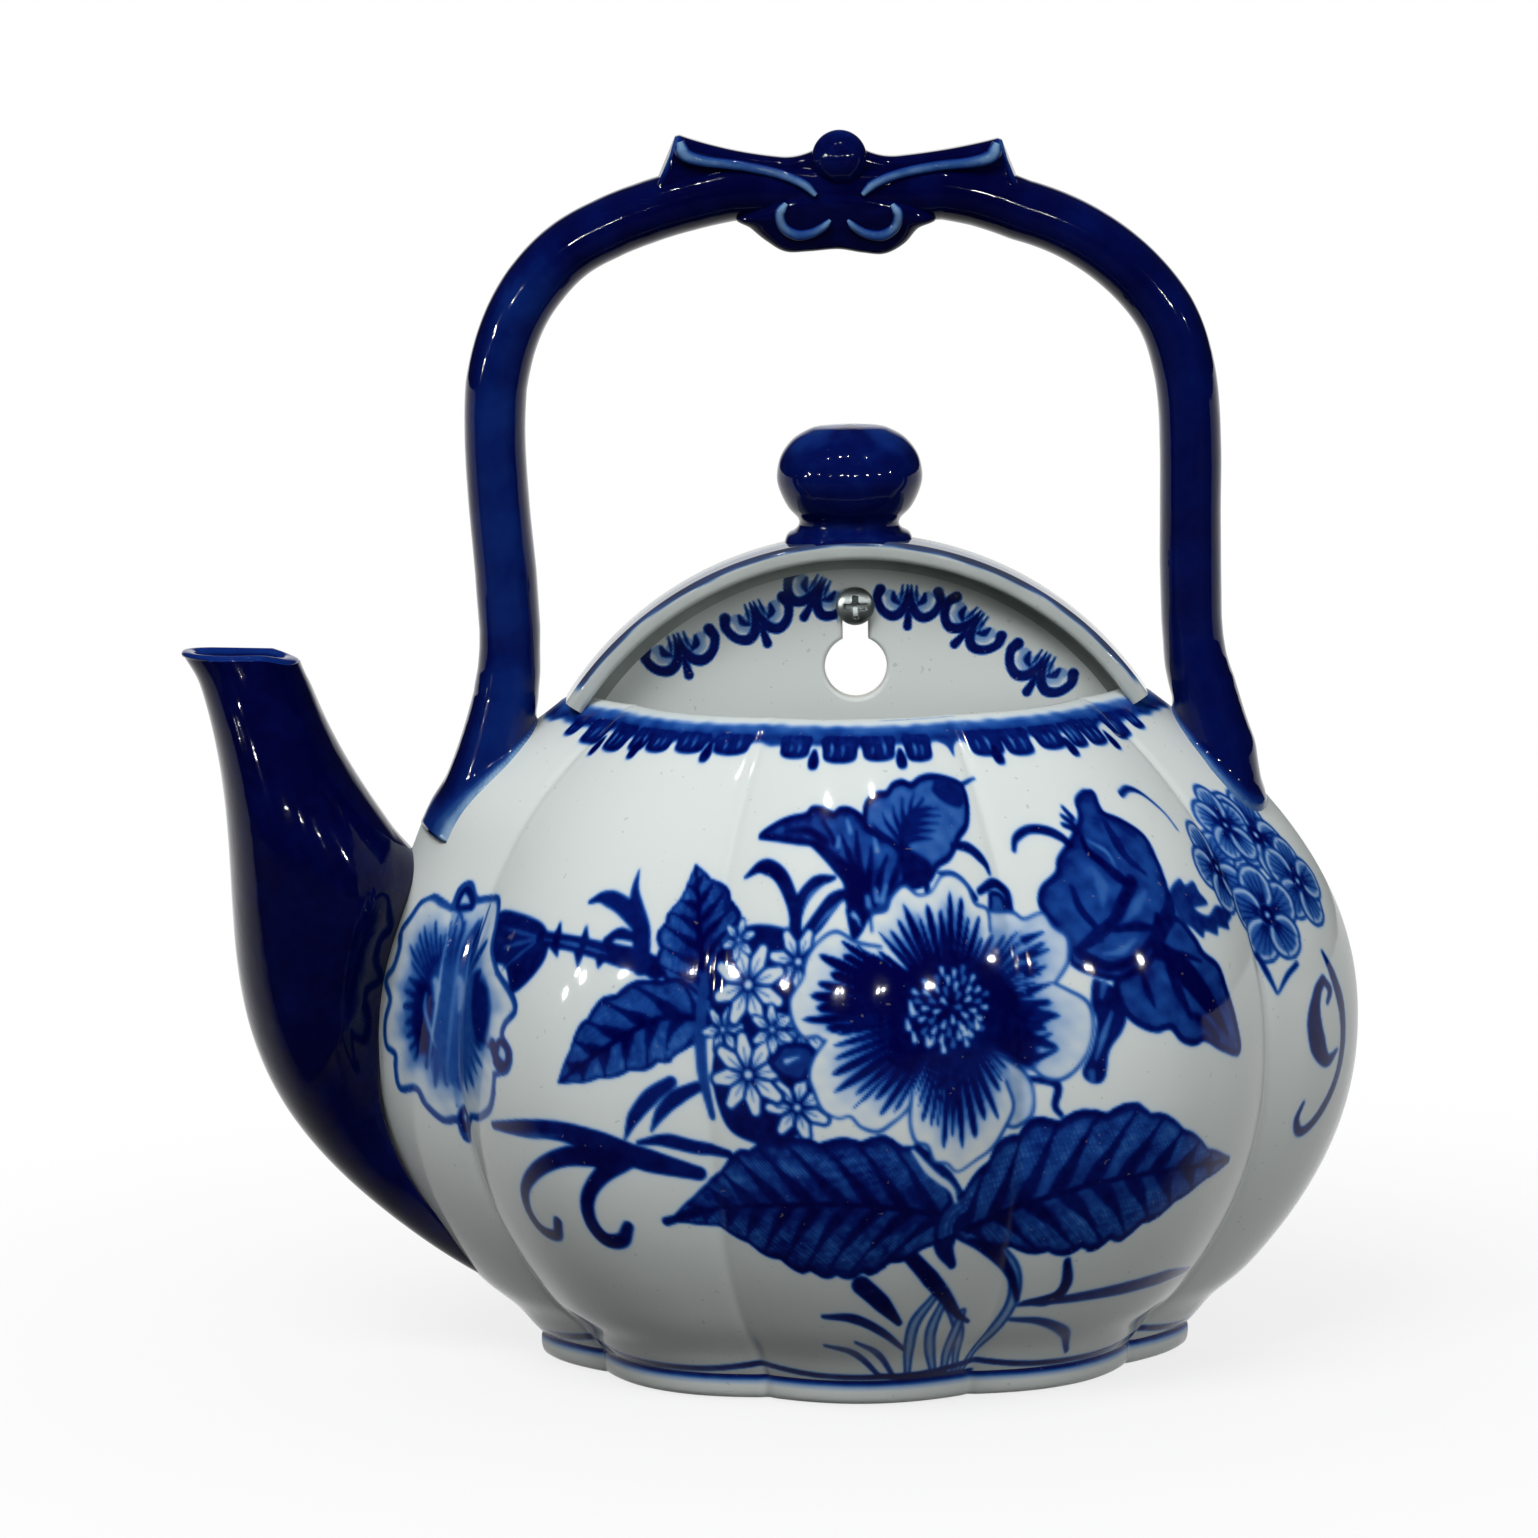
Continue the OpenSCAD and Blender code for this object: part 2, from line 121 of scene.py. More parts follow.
def smooth_line(points, per=8):
    """A smooth line through the points (any number of columns)."""
    p = np.array(points, float)
    if len(p) < 3:
        return mix(p[0], p[1], np.linspace(0, 1, per + 1)[:, None])
    ends = np.vstack([2 * p[0] - p[1], p, 2 * p[-1] - p[-2]])
    t = np.linspace(0, 1, per, endpoint=False)[:, None]
    runs = []
    for i in range(len(p) - 1):
        a, b, c, d = ends[i:i + 4]
        runs.append(0.5 * (2 * b + (c - a) * t + (2 * a - 5 * b + 4 * c - d) * t ** 2
                           + (3 * b - a - 3 * c + d) * t ** 3))
    return np.vstack(runs + [p[-1:]])


def wander(x, y, seed=0.0):
    """Soft uneven field between about -1 and 1, the same in every run."""
    return (np.sin(1.7 * x + 2.3 * y + seed) + np.sin(-2.9 * x + 1.3 * y + 2.1 * seed)
            + np.sin(4.1 * x + 3.7 * y - 1.3 * seed) + np.sin(1.1 * x - 5.3 * y + 0.7 * seed)) / 4


# ---- meshes ------------------------------------------------------------------


def make_mesh(name, points, quads, tris, corner_uv=None, values=None):
    """A smooth-shaded object from points in millimetres and index arrays."""
    me = bpy.data.meshes.new(name)
    quads = np.asarray(quads, np.int32).reshape(-1, 4)
    tris = np.asarray(tris, np.int32).reshape(-1, 3)
    me.vertices.add(len(points))
    me.vertices.foreach_set("co", (np.asarray(points, np.float32) * MM).ravel())
    me.loops.add(quads.size + tris.size)
    me.loops.foreach_set("vertex_index", np.concatenate([quads.ravel(), tris.ravel()]))
    starts = np.concatenate([np.arange(len(quads)) * 4, quads.size + np.arange(len(tris)) * 3])
    me.polygons.add(len(starts))
    me.polygons.foreach_set("loop_start", starts.astype(np.int32))
    if corner_uv is not None:
        me.uv_layers.new(name="OFBake").uv.foreach_set("vector", corner_uv.astype(np.float32).ravel())
    for key, field in (values or {}).items():
        me.attributes.new(key, "FLOAT", "POINT").data.foreach_set("value", field.astype(np.float32))
    me.update(calc_edges=True)
    me.validate()
    me.shade_smooth()
    piece = bpy.data.objects.new(name, me)
    bpy.context.scene.collection.objects.link(piece)
    return piece


def grid_quads(rows, cols, wrap=False):
    """Corner indices of a grid's quads, and the same corners as (row, column)."""
    r, c = np.meshgrid(np.arange(rows - 1), np.arange(cols if wrap else cols - 1), indexing="ij")
    r, c = r.ravel(), c.ravel()
    at = [(r, c), (r, c + 1), (r + 1, c + 1), (r + 1, c)]
    quads = np.stack([a * cols + b % cols for a, b in at], 1)
    return quads, np.stack([np.stack([b, a], 1) for a, b in at], 1)


def grid_piece(name, pts, wrap=False, caps=(), values=None, flip=False):
    """A skin over a rows x cols grid of points. caps lists the ends to close: 0 first, -1 last."""
    rows, cols = pts.shape[:2]
    quads, where = grid_quads(rows, cols, wrap)
    uv = where.astype(float)
    uv[..., 0] = UV_EDGE + (1 - 2 * UV_EDGE) * uv[..., 0] / (cols if wrap else cols - 1)
    uv[..., 1] = UV_EDGE + (1 - 2 * UV_EDGE) * uv[..., 1] / (rows - 1)
    points = pts.reshape(-1, 3)
    extra, tris, tri_uv = [], [], []
    for end in caps:
        ring = (0 if end == 0 else rows - 1) * cols + np.arange(cols)
        fan = np.stack([np.roll(ring, -1), ring, np.full(cols, len(points) + len(extra))], 1)
        tris.append(fan if end == 0 else fan[:, ::-1])
        extra.append(points[ring].mean(0))
        edge = np.stack([np.arange(cols) / cols, np.full(cols, UV_EDGE if end == 0 else 1 - UV_EDGE)], 1)
        tri_uv.append(np.stack([edge] * 3, 1))
    if values:
        values = {k: np.concatenate([f.ravel(), np.full(len(extra), f.ravel()[-1])])
                  for k, f in values.items()}
    if extra:
        points = np.vstack([points, extra])
    tris = np.vstack(tris) if tris else np.zeros((0, 3), int)
    if flip:
        quads, uv, tris = quads[:, ::-1], uv[:, ::-1], tris[:, ::-1]
    corner = np.concatenate([uv.reshape(-1, 2)] + [t.reshape(-1, 2) for t in tri_uv])
    return make_mesh(name, points, quads, tris, corner, values)


def cobalt_skin(name, rows, thin, flip=False):
    """A closed skin for the cobalt glaze, paler where the given values say: where the glaze runs thin, and
    where sheen is painted on the handle.
    """
    return grid_piece(name, rows, wrap=True, caps=(0, -1), values={"thin": thin}, flip=flip)


def join(name, pieces):
    """One object out of several."""
    for ob in bpy.context.selected_objects:
        ob.select_set(False)
    for ob in pieces:
        ob.select_set(True)
    bpy.context.view_layer.objects.active = pieces[0]
    bpy.ops.object.join()
    pieces[0].name = name
    pieces[0].data.name = name
    return pieces[0]


# ---- the pot's form, as in the part's source ---------------------------------

# The decoration is laid out on a chart: millimetres round the belly from its middle line, to
# the right, and height.
CHART_R = 109.0
CREASE_STEP = math.pi / LOBES
GROOVE, GROOVE_W = 0.5, 1.7     # the fine line along the bottom of each crease
FULLER, WAIST = 5.0, 1.3        # the left shoulder stands out, and the pot draws in just above its foot


def off_belly(z):
    """How far a height lies from the belly, as a share of the way to the mouth or the foot."""
    return np.where(z > BELLY_Z, (z - BELLY_Z) / (MOUTH_Z - BELLY_Z), (BELLY_Z - z) / (BELLY_Z - FOOT_TOP_Z))


def girth(z, belly, mouth, foot):
    """Half width or depth at each height, from those at the belly, the mouth and the foot."""
    return belly - (belly - np.where(z > BELLY_Z, mouth, foot)) * np.abs(off_belly(z)) ** FULLNESS


def foot_in(z):
    return FOOT_TAPER * np.maximum(FOOT_TOP_Z - z, 0) / FOOT_H


def pot_half(z):
    return girth(np.clip(z, FOOT_TOP_Z, MOUTH_Z), BELLY_HALF, MOUTH_HALF, FOOT_HALF) - foot_in(z)


def pot_depth(z):
    return girth(np.clip(z, FOOT_TOP_Z, MOUTH_Z), BELLY_DEPTH, MOUTH_DEPTH, FOOT_DEPTH) - foot_in(z)


def pot_crease(z):
    """Depth of the creases at each height, as a share of the plan circle's radius."""
    share = np.clip((z - FOOT_TOP_Z) / (MOUTH_Z - FOOT_TOP_Z), 0, 1)
    return CREASE * mix(mix(CREASE_LOW, CREASE_FADE, share), 1, np.sin(np.pi * share))


def soft_crest(a):
    """0 in a crease and 1 on a lobe, with the bottom of each crease rounded by the glaze."""
    blunt = 0.08
    return (np.hypot(np.sin(LOBES * (a + np.pi / 2)), blunt) - blunt) / (np.hypot(1, blunt) - blunt)


def pot_circle(z, inset=0.0):
    """Radius of the plan circle at height z, and how far its centre lies behind the wall plane."""
    half, depth = pot_half(z) - inset, pot_depth(z) - inset
    radius = (half * half + depth * depth) / (2 * depth)
    return radius, radius - depth


def pot_reach(z, a, inset=0.0):
    """Distance from the plan circle's centre to the skin, at an angle from the middle line."""
    radius, _ = pot_circle(z, inset)
    off = (a / CREASE_STEP - 0.5 - np.floor(a / CREASE_STEP)) * CREASE_STEP
    groove = GROOVE * np.exp(-(off * CHART_R / GROOVE_W) ** 2)
    shoulder = FULLER * np.exp(-((a + 1.45) / 0.42) ** 2) * np.exp(-((z - MOUTH_Z + 20) / 11) ** 2)
    shoulder = shoulder * ramp(z, MOUTH_Z - 3, MOUTH_Z - 10)
    waist = WAIST * np.exp(-((z - FOOT_TOP_Z - 5.5) / 4) ** 2)
    return radius * (1 - pot_crease(z) * (1 - soft_crest(a))) - groove + shoulder - waist


def pot_point(z, a, inset=0.0):
    _, centre = pot_circle(z, inset)
    reach = pot_reach(z, a, inset)
    return cloud(reach * np.sin(a), centre - reach * np.cos(a), z)


def last_angle(z, inset=0.0, y=0.0, side=1):
    """Angle at which the plan circle meets the plane at y, on the right or (side -1) on the left."""
    _, centre = pot_circle(z, inset)
    a = np.full(np.shape(z), 1.3)
    for _ in range(12):
        a = np.arccos(np.clip((centre - y) / pot_reach(z, side * a, inset), -1, 1))
    return a


def depth_in_pot(p):
    """How deep a point lies in the pot's form, level with its own height; negative outside."""
    _, centre = pot_circle(p[..., 2])
    a = np.arctan2(p[..., 0], centre - p[..., 1])
    inside = pot_reach(p[..., 2], a) - np.hypot(p[..., 0], centre - p[..., 1])
    return np.minimum(inside, MOUTH_Z - p[..., 2])


# ---- brushes -----------------------------------------------------------------

SOFT = 0.3          # width over which a brush's edge fades, in millimetres
LEAF_DARK = 0.93    # the veins, the rib and the edge of a leaf


class Canvas:
    """Points of a surface laid out flat, and the cobalt laid on each, from 0 to 1."""

    def __init__(self, u, v):
        self.shape = u.shape
        self.u, self.v = u.ravel(), v.ravel()
        self.ink = np.zeros(self.u.shape)

    def near(self, line, pad):
        low, high = np.min(line, 0)[:2] - pad, np.max(line, 0)[:2] + pad
        in_u, in_v = [(w > a) & (w < b) for w, a, b in zip((self.u, self.v), low, high)]
        return np.flatnonzero(in_u & in_v)

    def lay(self, at, cover, tone):
        self.ink[at] += (tone - self.ink[at]) * np.clip(cover, 0, 1)

    def result(self):
        return self.ink.reshape(self.shape)


def along(line, u, v):
    """For each point: share of the line's run at its nearest place, and signed gap (left positive)."""
    steps = np.diff(line[:, :2], axis=0)
    lengths = np.maximum(np.linalg.norm(steps, axis=1), 1e-6)
    start = run_of(lengths)
    best, share, side = np.full(u.shape, 1e9), np.zeros(u.shape), np.zeros(u.shape)
    for k, (run, length) in enumerate(zip(steps, lengths)):
        du, dv = u - line[k, 0], v - line[k, 1]
        t = np.clip((du * run[0] + dv * run[1]) / length ** 2, 0, 1)
        gap = np.hypot(du - t * run[0], dv - t * run[1])
        closer = gap < best
        best[closer] = gap[closer]
        share[closer] = (start[k] + t[closer] * length) / start[-1]
        side[closer] = np.sign(run[0] * dv - run[1] * du)[closer]
    return share, best * side, start[-1]


def at_share(share, values):
    """The values, evenly spread over a run, at each share of it."""
    return np.interp(share, np.linspace(0, 1, len(values)), values)


def circle(centre, wide, high, count):
    """Points round an ellipse."""
    turns = np.linspace(0, 2 * math.pi, count + 1)[:-1]
    return [(centre[0] + wide * math.cos(a), centre[1] + high * math.sin(a)) for a in turns]


def stroke(c, points, widths, tone=0.92, soft=0.28):
    """A brush stroke through the points, as wide as the widths say along its run."""
    line = smooth_line(points)
    widths = np.atleast_1d(widths).astype(float)
    at = c.near(line, widths.max() / 2 + soft)
    share, gap, _ = along(line, c.u[at], c.v[at])
    c.lay(at, ramp(np.abs(gap) - at_share(share, widths) / 2, soft, -soft), tone)


def hatch(c, lines, widths, tone=0.92, soft=0.28):
    """Several strokes of one kind."""
    for line in lines:
        stroke(c, line, widths, tone, soft)


def blade(c, line):
    """A blade of grass with a pale heart."""
    stroke(c, line, [2.0, 3.2, 3.2, 2.0], 0.74, SOFT)
    stroke(c, line, [0.8, 1.7, 1.7, 0.8], 0.28, SOFT)


def closed(points, per=6):
    """A smooth closed line through the points."""
    p = list(points)
    return smooth_line(p[-2:] + p + p[:2], per)[2 * per:-2 * per]


def loop_at(c, loop, pad):
    """The points near a closed line, their places, and how far outside it each lies."""
    at = c.near(loop, pad)
    u, v = c.u[at], c.v[at]
    return at, u, v, loop_gap(u, v, loop) * np.where(within(u, v, loop), -1, 1)


def patch(c, points, tone, soft=SOFT, edge=0.0, edge_tone=0.92):
    """A filled shape with soft edges and, if edge is given, an outline that wide."""
    at, u, v, gap = loop_at(c, closed(points), soft + edge)
    fill = tone(u, v, gap) if callable(tone) else tone
    c.lay(at, ramp(gap, soft, -soft), fill)
    if edge:
        c.lay(at, ramp(np.abs(gap) - edge / 2, soft, -soft * 0.6), edge_tone)


def blotted(tone, uneven, across, up, seed, rim=0.0, depth=-1.0, at=0.0):
    """An uneven wash for a patch that darkens towards its rim; across and up stretch its blots."""
    return lambda u, v, gap: tone + uneven * wander(u / across, v / up, seed) + rim * ramp(gap, depth, at)


def leaf_wash(u, v, gap, share, off, length, kind):
    """The tone inside a leaf: an uneven wash, veins that widen inwards, and fine hairs between."""
    wash, veins, lean, pale, feather = kind
    uneven = 0.09 * wander(u / 5.5, v / 5.5, 1.0) + 0.05 * wander(u / 1.3, v / 2.1, 2.0)
    tone = wash + uneven - pale * ramp(off, 0.5, 0.95) * (gap > 0)
    phase = (share * length - lean * np.abs(gap)) * veins / length + np.where(gap > 0, 0.25, 0.0)
    between = np.abs(phase % 1 - 0.5) * 2
    wedge = ramp(off, 0.95, 0.15)
    vein = ramp(between, 0.80 - 0.5 * wedge ** 2, 0.96 - 0.35 * wedge ** 2)
    fray = 0.12 * np.sin(9 * phase * 2 * np.pi + 3 * off)
    hair = ramp(np.sin(16 * np.pi * phase + 5 * off) + 0.6 * wander(u / 2, v / 2, 3), 0.3, 1.2)
    tone = tone - feather * hair * ramp(off, 0.15, 0.5) * ramp(off, 0.95, 0.75)
    return mix(tone, LEAF_DARK, np.clip(vein * (0.92 + fray), 0, 1) * ramp(off, 1.0, 0.9))


def leaf(c, spine, left, right, wash, veins, teeth, tooth, lean=0.75, pale=0.0, feather=0.16):
    """A veined leaf along its spine; left and right give its half widths from base to tip."""
    line = smooth_line(spine)
    at = c.near(line, max(max(left), max(right)) * (1 + tooth) + 1)
    u, v = c.u[at], c.v[at]
    share, gap, length = along(line, u, v)
    scallop = np.abs(np.sin(np.pi * (teeth * share + 0.15 * np.sign(gap)))) - 0.6
    half = np.where(gap > 0, at_share(share, left), at_share(share, right)) * (1 + tooth * scallop)
    off = np.abs(gap) / np.maximum(half, 0.05)
    tone = leaf_wash(u, v, gap, share, off, length, (wash, veins, lean, pale, feather))
    tone = mix(tone, LEAF_DARK, ramp(off, 0.86, 0.97) * 0.85)
    rib = ramp(np.abs(gap), 1.0 - 0.6 * share, 0.45 - 0.3 * share)
    tone = mix(tone, LEAF_DARK + 0.04, rib)
    c.lay(at, ramp(np.abs(gap) - half, 0.25, -0.25), tone)
    c.lay(at, ramp(np.abs(np.abs(gap) - half) - 0.28, 0.25, -0.2), LEAF_DARK)


def turn_from(out, side, ahead):
    """Angle from the direction out, for places with that much aside and ahead of it."""
    return np.arctan2(out[0] * side - out[1] * ahead, out[0] * ahead + out[1] * side)


def petal(c, heart, rim, spikes=9, core=0.45, reach=0.82, white=0.02, tone=0.92, wash=0.62, edge=0.62):
    """A petal from the flower's heart: dark pointed stripes that run out into its pale rim."""
    curve = smooth_line(rim, 10)
    hub = np.array(heart)
    at, u, v, gap = loop_at(c, np.vstack([hub, curve]), 1.0)
    out, ends = curve[len(curve) // 2] - hub, curve - hub
    turn = turn_from(out, v - hub[1], u - hub[0])
    ends_turn = turn_from(out, ends[:, 1], ends[:, 0])
    order = np.argsort(ends_turn)
    far = np.interp(turn, ends_turn[order], np.linalg.norm(ends, axis=1)[order])
    share = np.interp(turn, ends_turn[order], np.linspace(0, 1, len(curve))[order])
    r = np.hypot(u - hub[0], v - hub[1]) / far
    k = np.floor(share * spikes)
    off = np.abs(share * spikes - k - 0.5) * 2 + 0.10 * np.sin(9 * r + 2 * k)
    end = reach * (0.95 + 0.07 * np.sin(2.6 * k + 1))
    width = np.clip((end - r) / (end - core), 0, 1) ** 0.55 * 0.86 + 0.3 * ramp(r, core, 0.7 * core)
    stripe = ramp(off - width, 0.16, -0.16) * ramp(r, end + 0.03, end - 0.03)
    ground = white + (wash - white) * ramp(r, 0.98, 0.42) + 0.05 * wander(u / 3, v / 3, spikes)
    c.lay(at, ramp(gap, SOFT, -SOFT), mix(ground, tone, stripe))
    stroke(c, rim, [edge, edge * 1.2, edge * 0.8, edge * 1.3, edge], 0.66, 0.35)


def stamens(c, centre, wide, high, count=46, pale=0.16):
    """The dotted heart of a flower."""
    cu, cv = centre
    patch(c, circle(centre, wide, high, 13), 0.95, soft=0.9)
    for k in range(count):
        r = math.sqrt((k + 0.5) / count)
        a = 2.39996 * k
        place = (cu + wide * r * math.cos(a), cv + high * r * math.sin(a))
        out = (place[0] + 1.0 * math.cos(a), place[1] + 1.2 * math.sin(a))
        stroke(c, [place, out], [0.6, 1.2], pale + 0.32 * (k % 3 == 0), SOFT)


def daisy(c, centre, radius, turn=0.0, petals=8):
    """A small white flower with a dark line in each petal."""
    cu, cv = centre
    for k in range(petals):
        a = turn + 2 * math.pi * k / petals
        way = np.array([math.cos(a), math.sin(a)])
        base, mid, tip = [tuple(np.array(centre) + radius * s * way) for s in (0.25, 0.68, 0.93)]
        stroke(c, [base, mid, tip], [0.2 * radius, 0.6 * radius, 0.46 * radius], 0.86, SOFT)
        stroke(c, [base, mid, tip], [0.08 * radius, 0.42 * radius, 0.26 * radius], 0.03)
        stroke(c, [base, mid], [0.5, 0.3], 0.6, SOFT)
    for width, tone in ((0.40, 0.9), (0.24, 0.1)):
        stroke(c, [(cu - 0.05, cv), (cu + 0.05, cv)], width * radius, tone, SOFT)


def blossom(c, centre, radius, turn=0.0, tone=0.62):
    """A five-petalled blossom: round petals with pale rims and fine inner lines."""
    hub = np.array(centre)
    for k in range(5):
        a = turn + 2 * math.pi * k / 5
        middle = hub + 0.56 * radius * np.array([math.cos(a), math.sin(a)])
        patch(c, circle(middle, 0.45 * radius, 0.45 * radius, 10), 0.10, edge=0.6, edge_tone=0.78)
        patch(c, circle(middle, 0.33 * radius, 0.33 * radius, 10), tone, soft=0.5)
        for lean in (-0.3, -0.1, 0.1, 0.3):
            out = hub + 0.86 * radius * np.array([math.cos(a + lean), math.sin(a + lean)])
            stroke(c, [tuple(mix(hub, out, 0.3)), tuple(out)], [0.7, 0.2], 0.9, 0.2)
    for width, dot, soft in ((0.42, 0.95, 0.4), (0.13, 0.1, 0.25)):
        stroke(c, [tuple(hub), tuple(hub + [0.1, 0])], width * radius, dot, soft)


# Half of a scroll motif, in shares of its half width: points, widths and tone.
FLEUR = [
    ([(0.62, 0.25), (0.36, 0.0), (0.2, 0.3)], [0.3, 0.5, 0.2], 0.30),
    ([(0.92, 0.42), (1.0, 0.08), (0.82, -0.36), (0.50, -0.56), (0.22, -0.38), (0.08, 0.06), (0.06, 0.62)],
     [0.30, 0.24, 0.25, 0.29, 0.26, 0.16, 0.05], 0.93),
    ([(0.50, 0.34), (0.46, 0.08), (0.30, -0.08)], [0.08, 0.20, 0.08], 0.9),
    ([(0.22, 0.62), (0.24, 0.2), (0.30, -0.02)], [0.05, 0.09, 0.03], 0.88),
    ([(0.72, 0.16), (0.66, -0.12), (0.46, -0.3)], [0.04, 0.10, 0.04], 0.22)]


def fleur(c, centre, half_wide, half_high, turn):
    """A pair of curled leaves with a drop between them, as used on rims."""
    cos, sin = math.cos(math.radians(turn)), math.sin(math.radians(turn))

    def place(p):
        x, y = p[0] * half_wide, p[1] * half_high
        return (centre[0] + x * cos - y * sin, centre[1] + x * sin + y * cos)

    size, drop = math.sqrt(half_wide * half_high), 0.62
    for side in (-1, 1):
        for points, widths, tone in FLEUR:
            line = [place((side * x, y)) for x, y in points]
            stroke(c, line, [1.2 * w * size for w in widths], tone, 0.25)
    stroke(c, [place((0, -0.28)), place((0.01, -drop)), place((0, -drop - 0.3))],
           [0.1 * size, 0.24 * size, 0.3 * size], 0.94, 0.25)


# ---- the decoration on the pot -----------------------------------------------
# All places are millimetres on the chart: round the belly from its middle line, and height.
# Each row is a brush and what it takes after the canvas. Most are stroke (points, widths along
# them, tone, softness), hatch (the same for several lines) and patch (outline, tone, softness,
# the drawn outline's width and tone). Rows are painted in order, one over another.

# The cluster of small round blossoms at the right, with its scrolls.
BLOSSOMS = [
    (blossom, (98.9, -51.9), 9.4, 0.5, 0.42),
    (blossom, (119.8, -47.6), 10, 0.9, 0.48),
    (blossom, (111.4, -44.6), 8, 0.2, 0.36),
    (blossom, (125.2, -58), 9.6, 1.2, 0.48),
    (blossom, (109.5, -63), 10.4, 0.3, 0.52),
    (stroke, [(103.1, -70.3), (105.2, -75.6), (106.6, -79.1)], [1.2, 1.4, 0.5], 0.85),
    (stroke, [(114.2, -73.8), (110.4, -75.8), (107.1, -78.9)], [1.2, 1.2, 0.5], 0.85),
    (stroke, [(77.3, -34.8), (81.4, -34.1), (85.5, -35.5), (89.3, -39.5), (90.4, -43.2)],
     [1.4, 1.3, 0.8, 0.6, 0.5], 0.85),
    (stroke, [(122.2, -78.3), (119.4, -80.7), (117.6, -86), (119.1, -91.9), (122.7, -95.6), (126.9, -94)],
     [2, 3, 5, 5.5, 3, 0.8], 0.88),
    (stroke, [(122.6, -78.6), (124.3, -80.9), (122.8, -83.3)], [1.6, 1.8, 1], 0.88),
    (stroke, [(124.1, -72.7), (126.8, -78.8), (129.3, -86.4), (129.5, -94.2), (127.5, -101.1),
     (123.4, -106.7), (119.3, -109.6), (116.1, -109.6), (114.4, -106.7), (115.7, -103.4)],
     [0.8, 2.4, 3, 2.6, 2.4, 2.2, 2.4, 2.2, 2, 0.8], 0.88)]

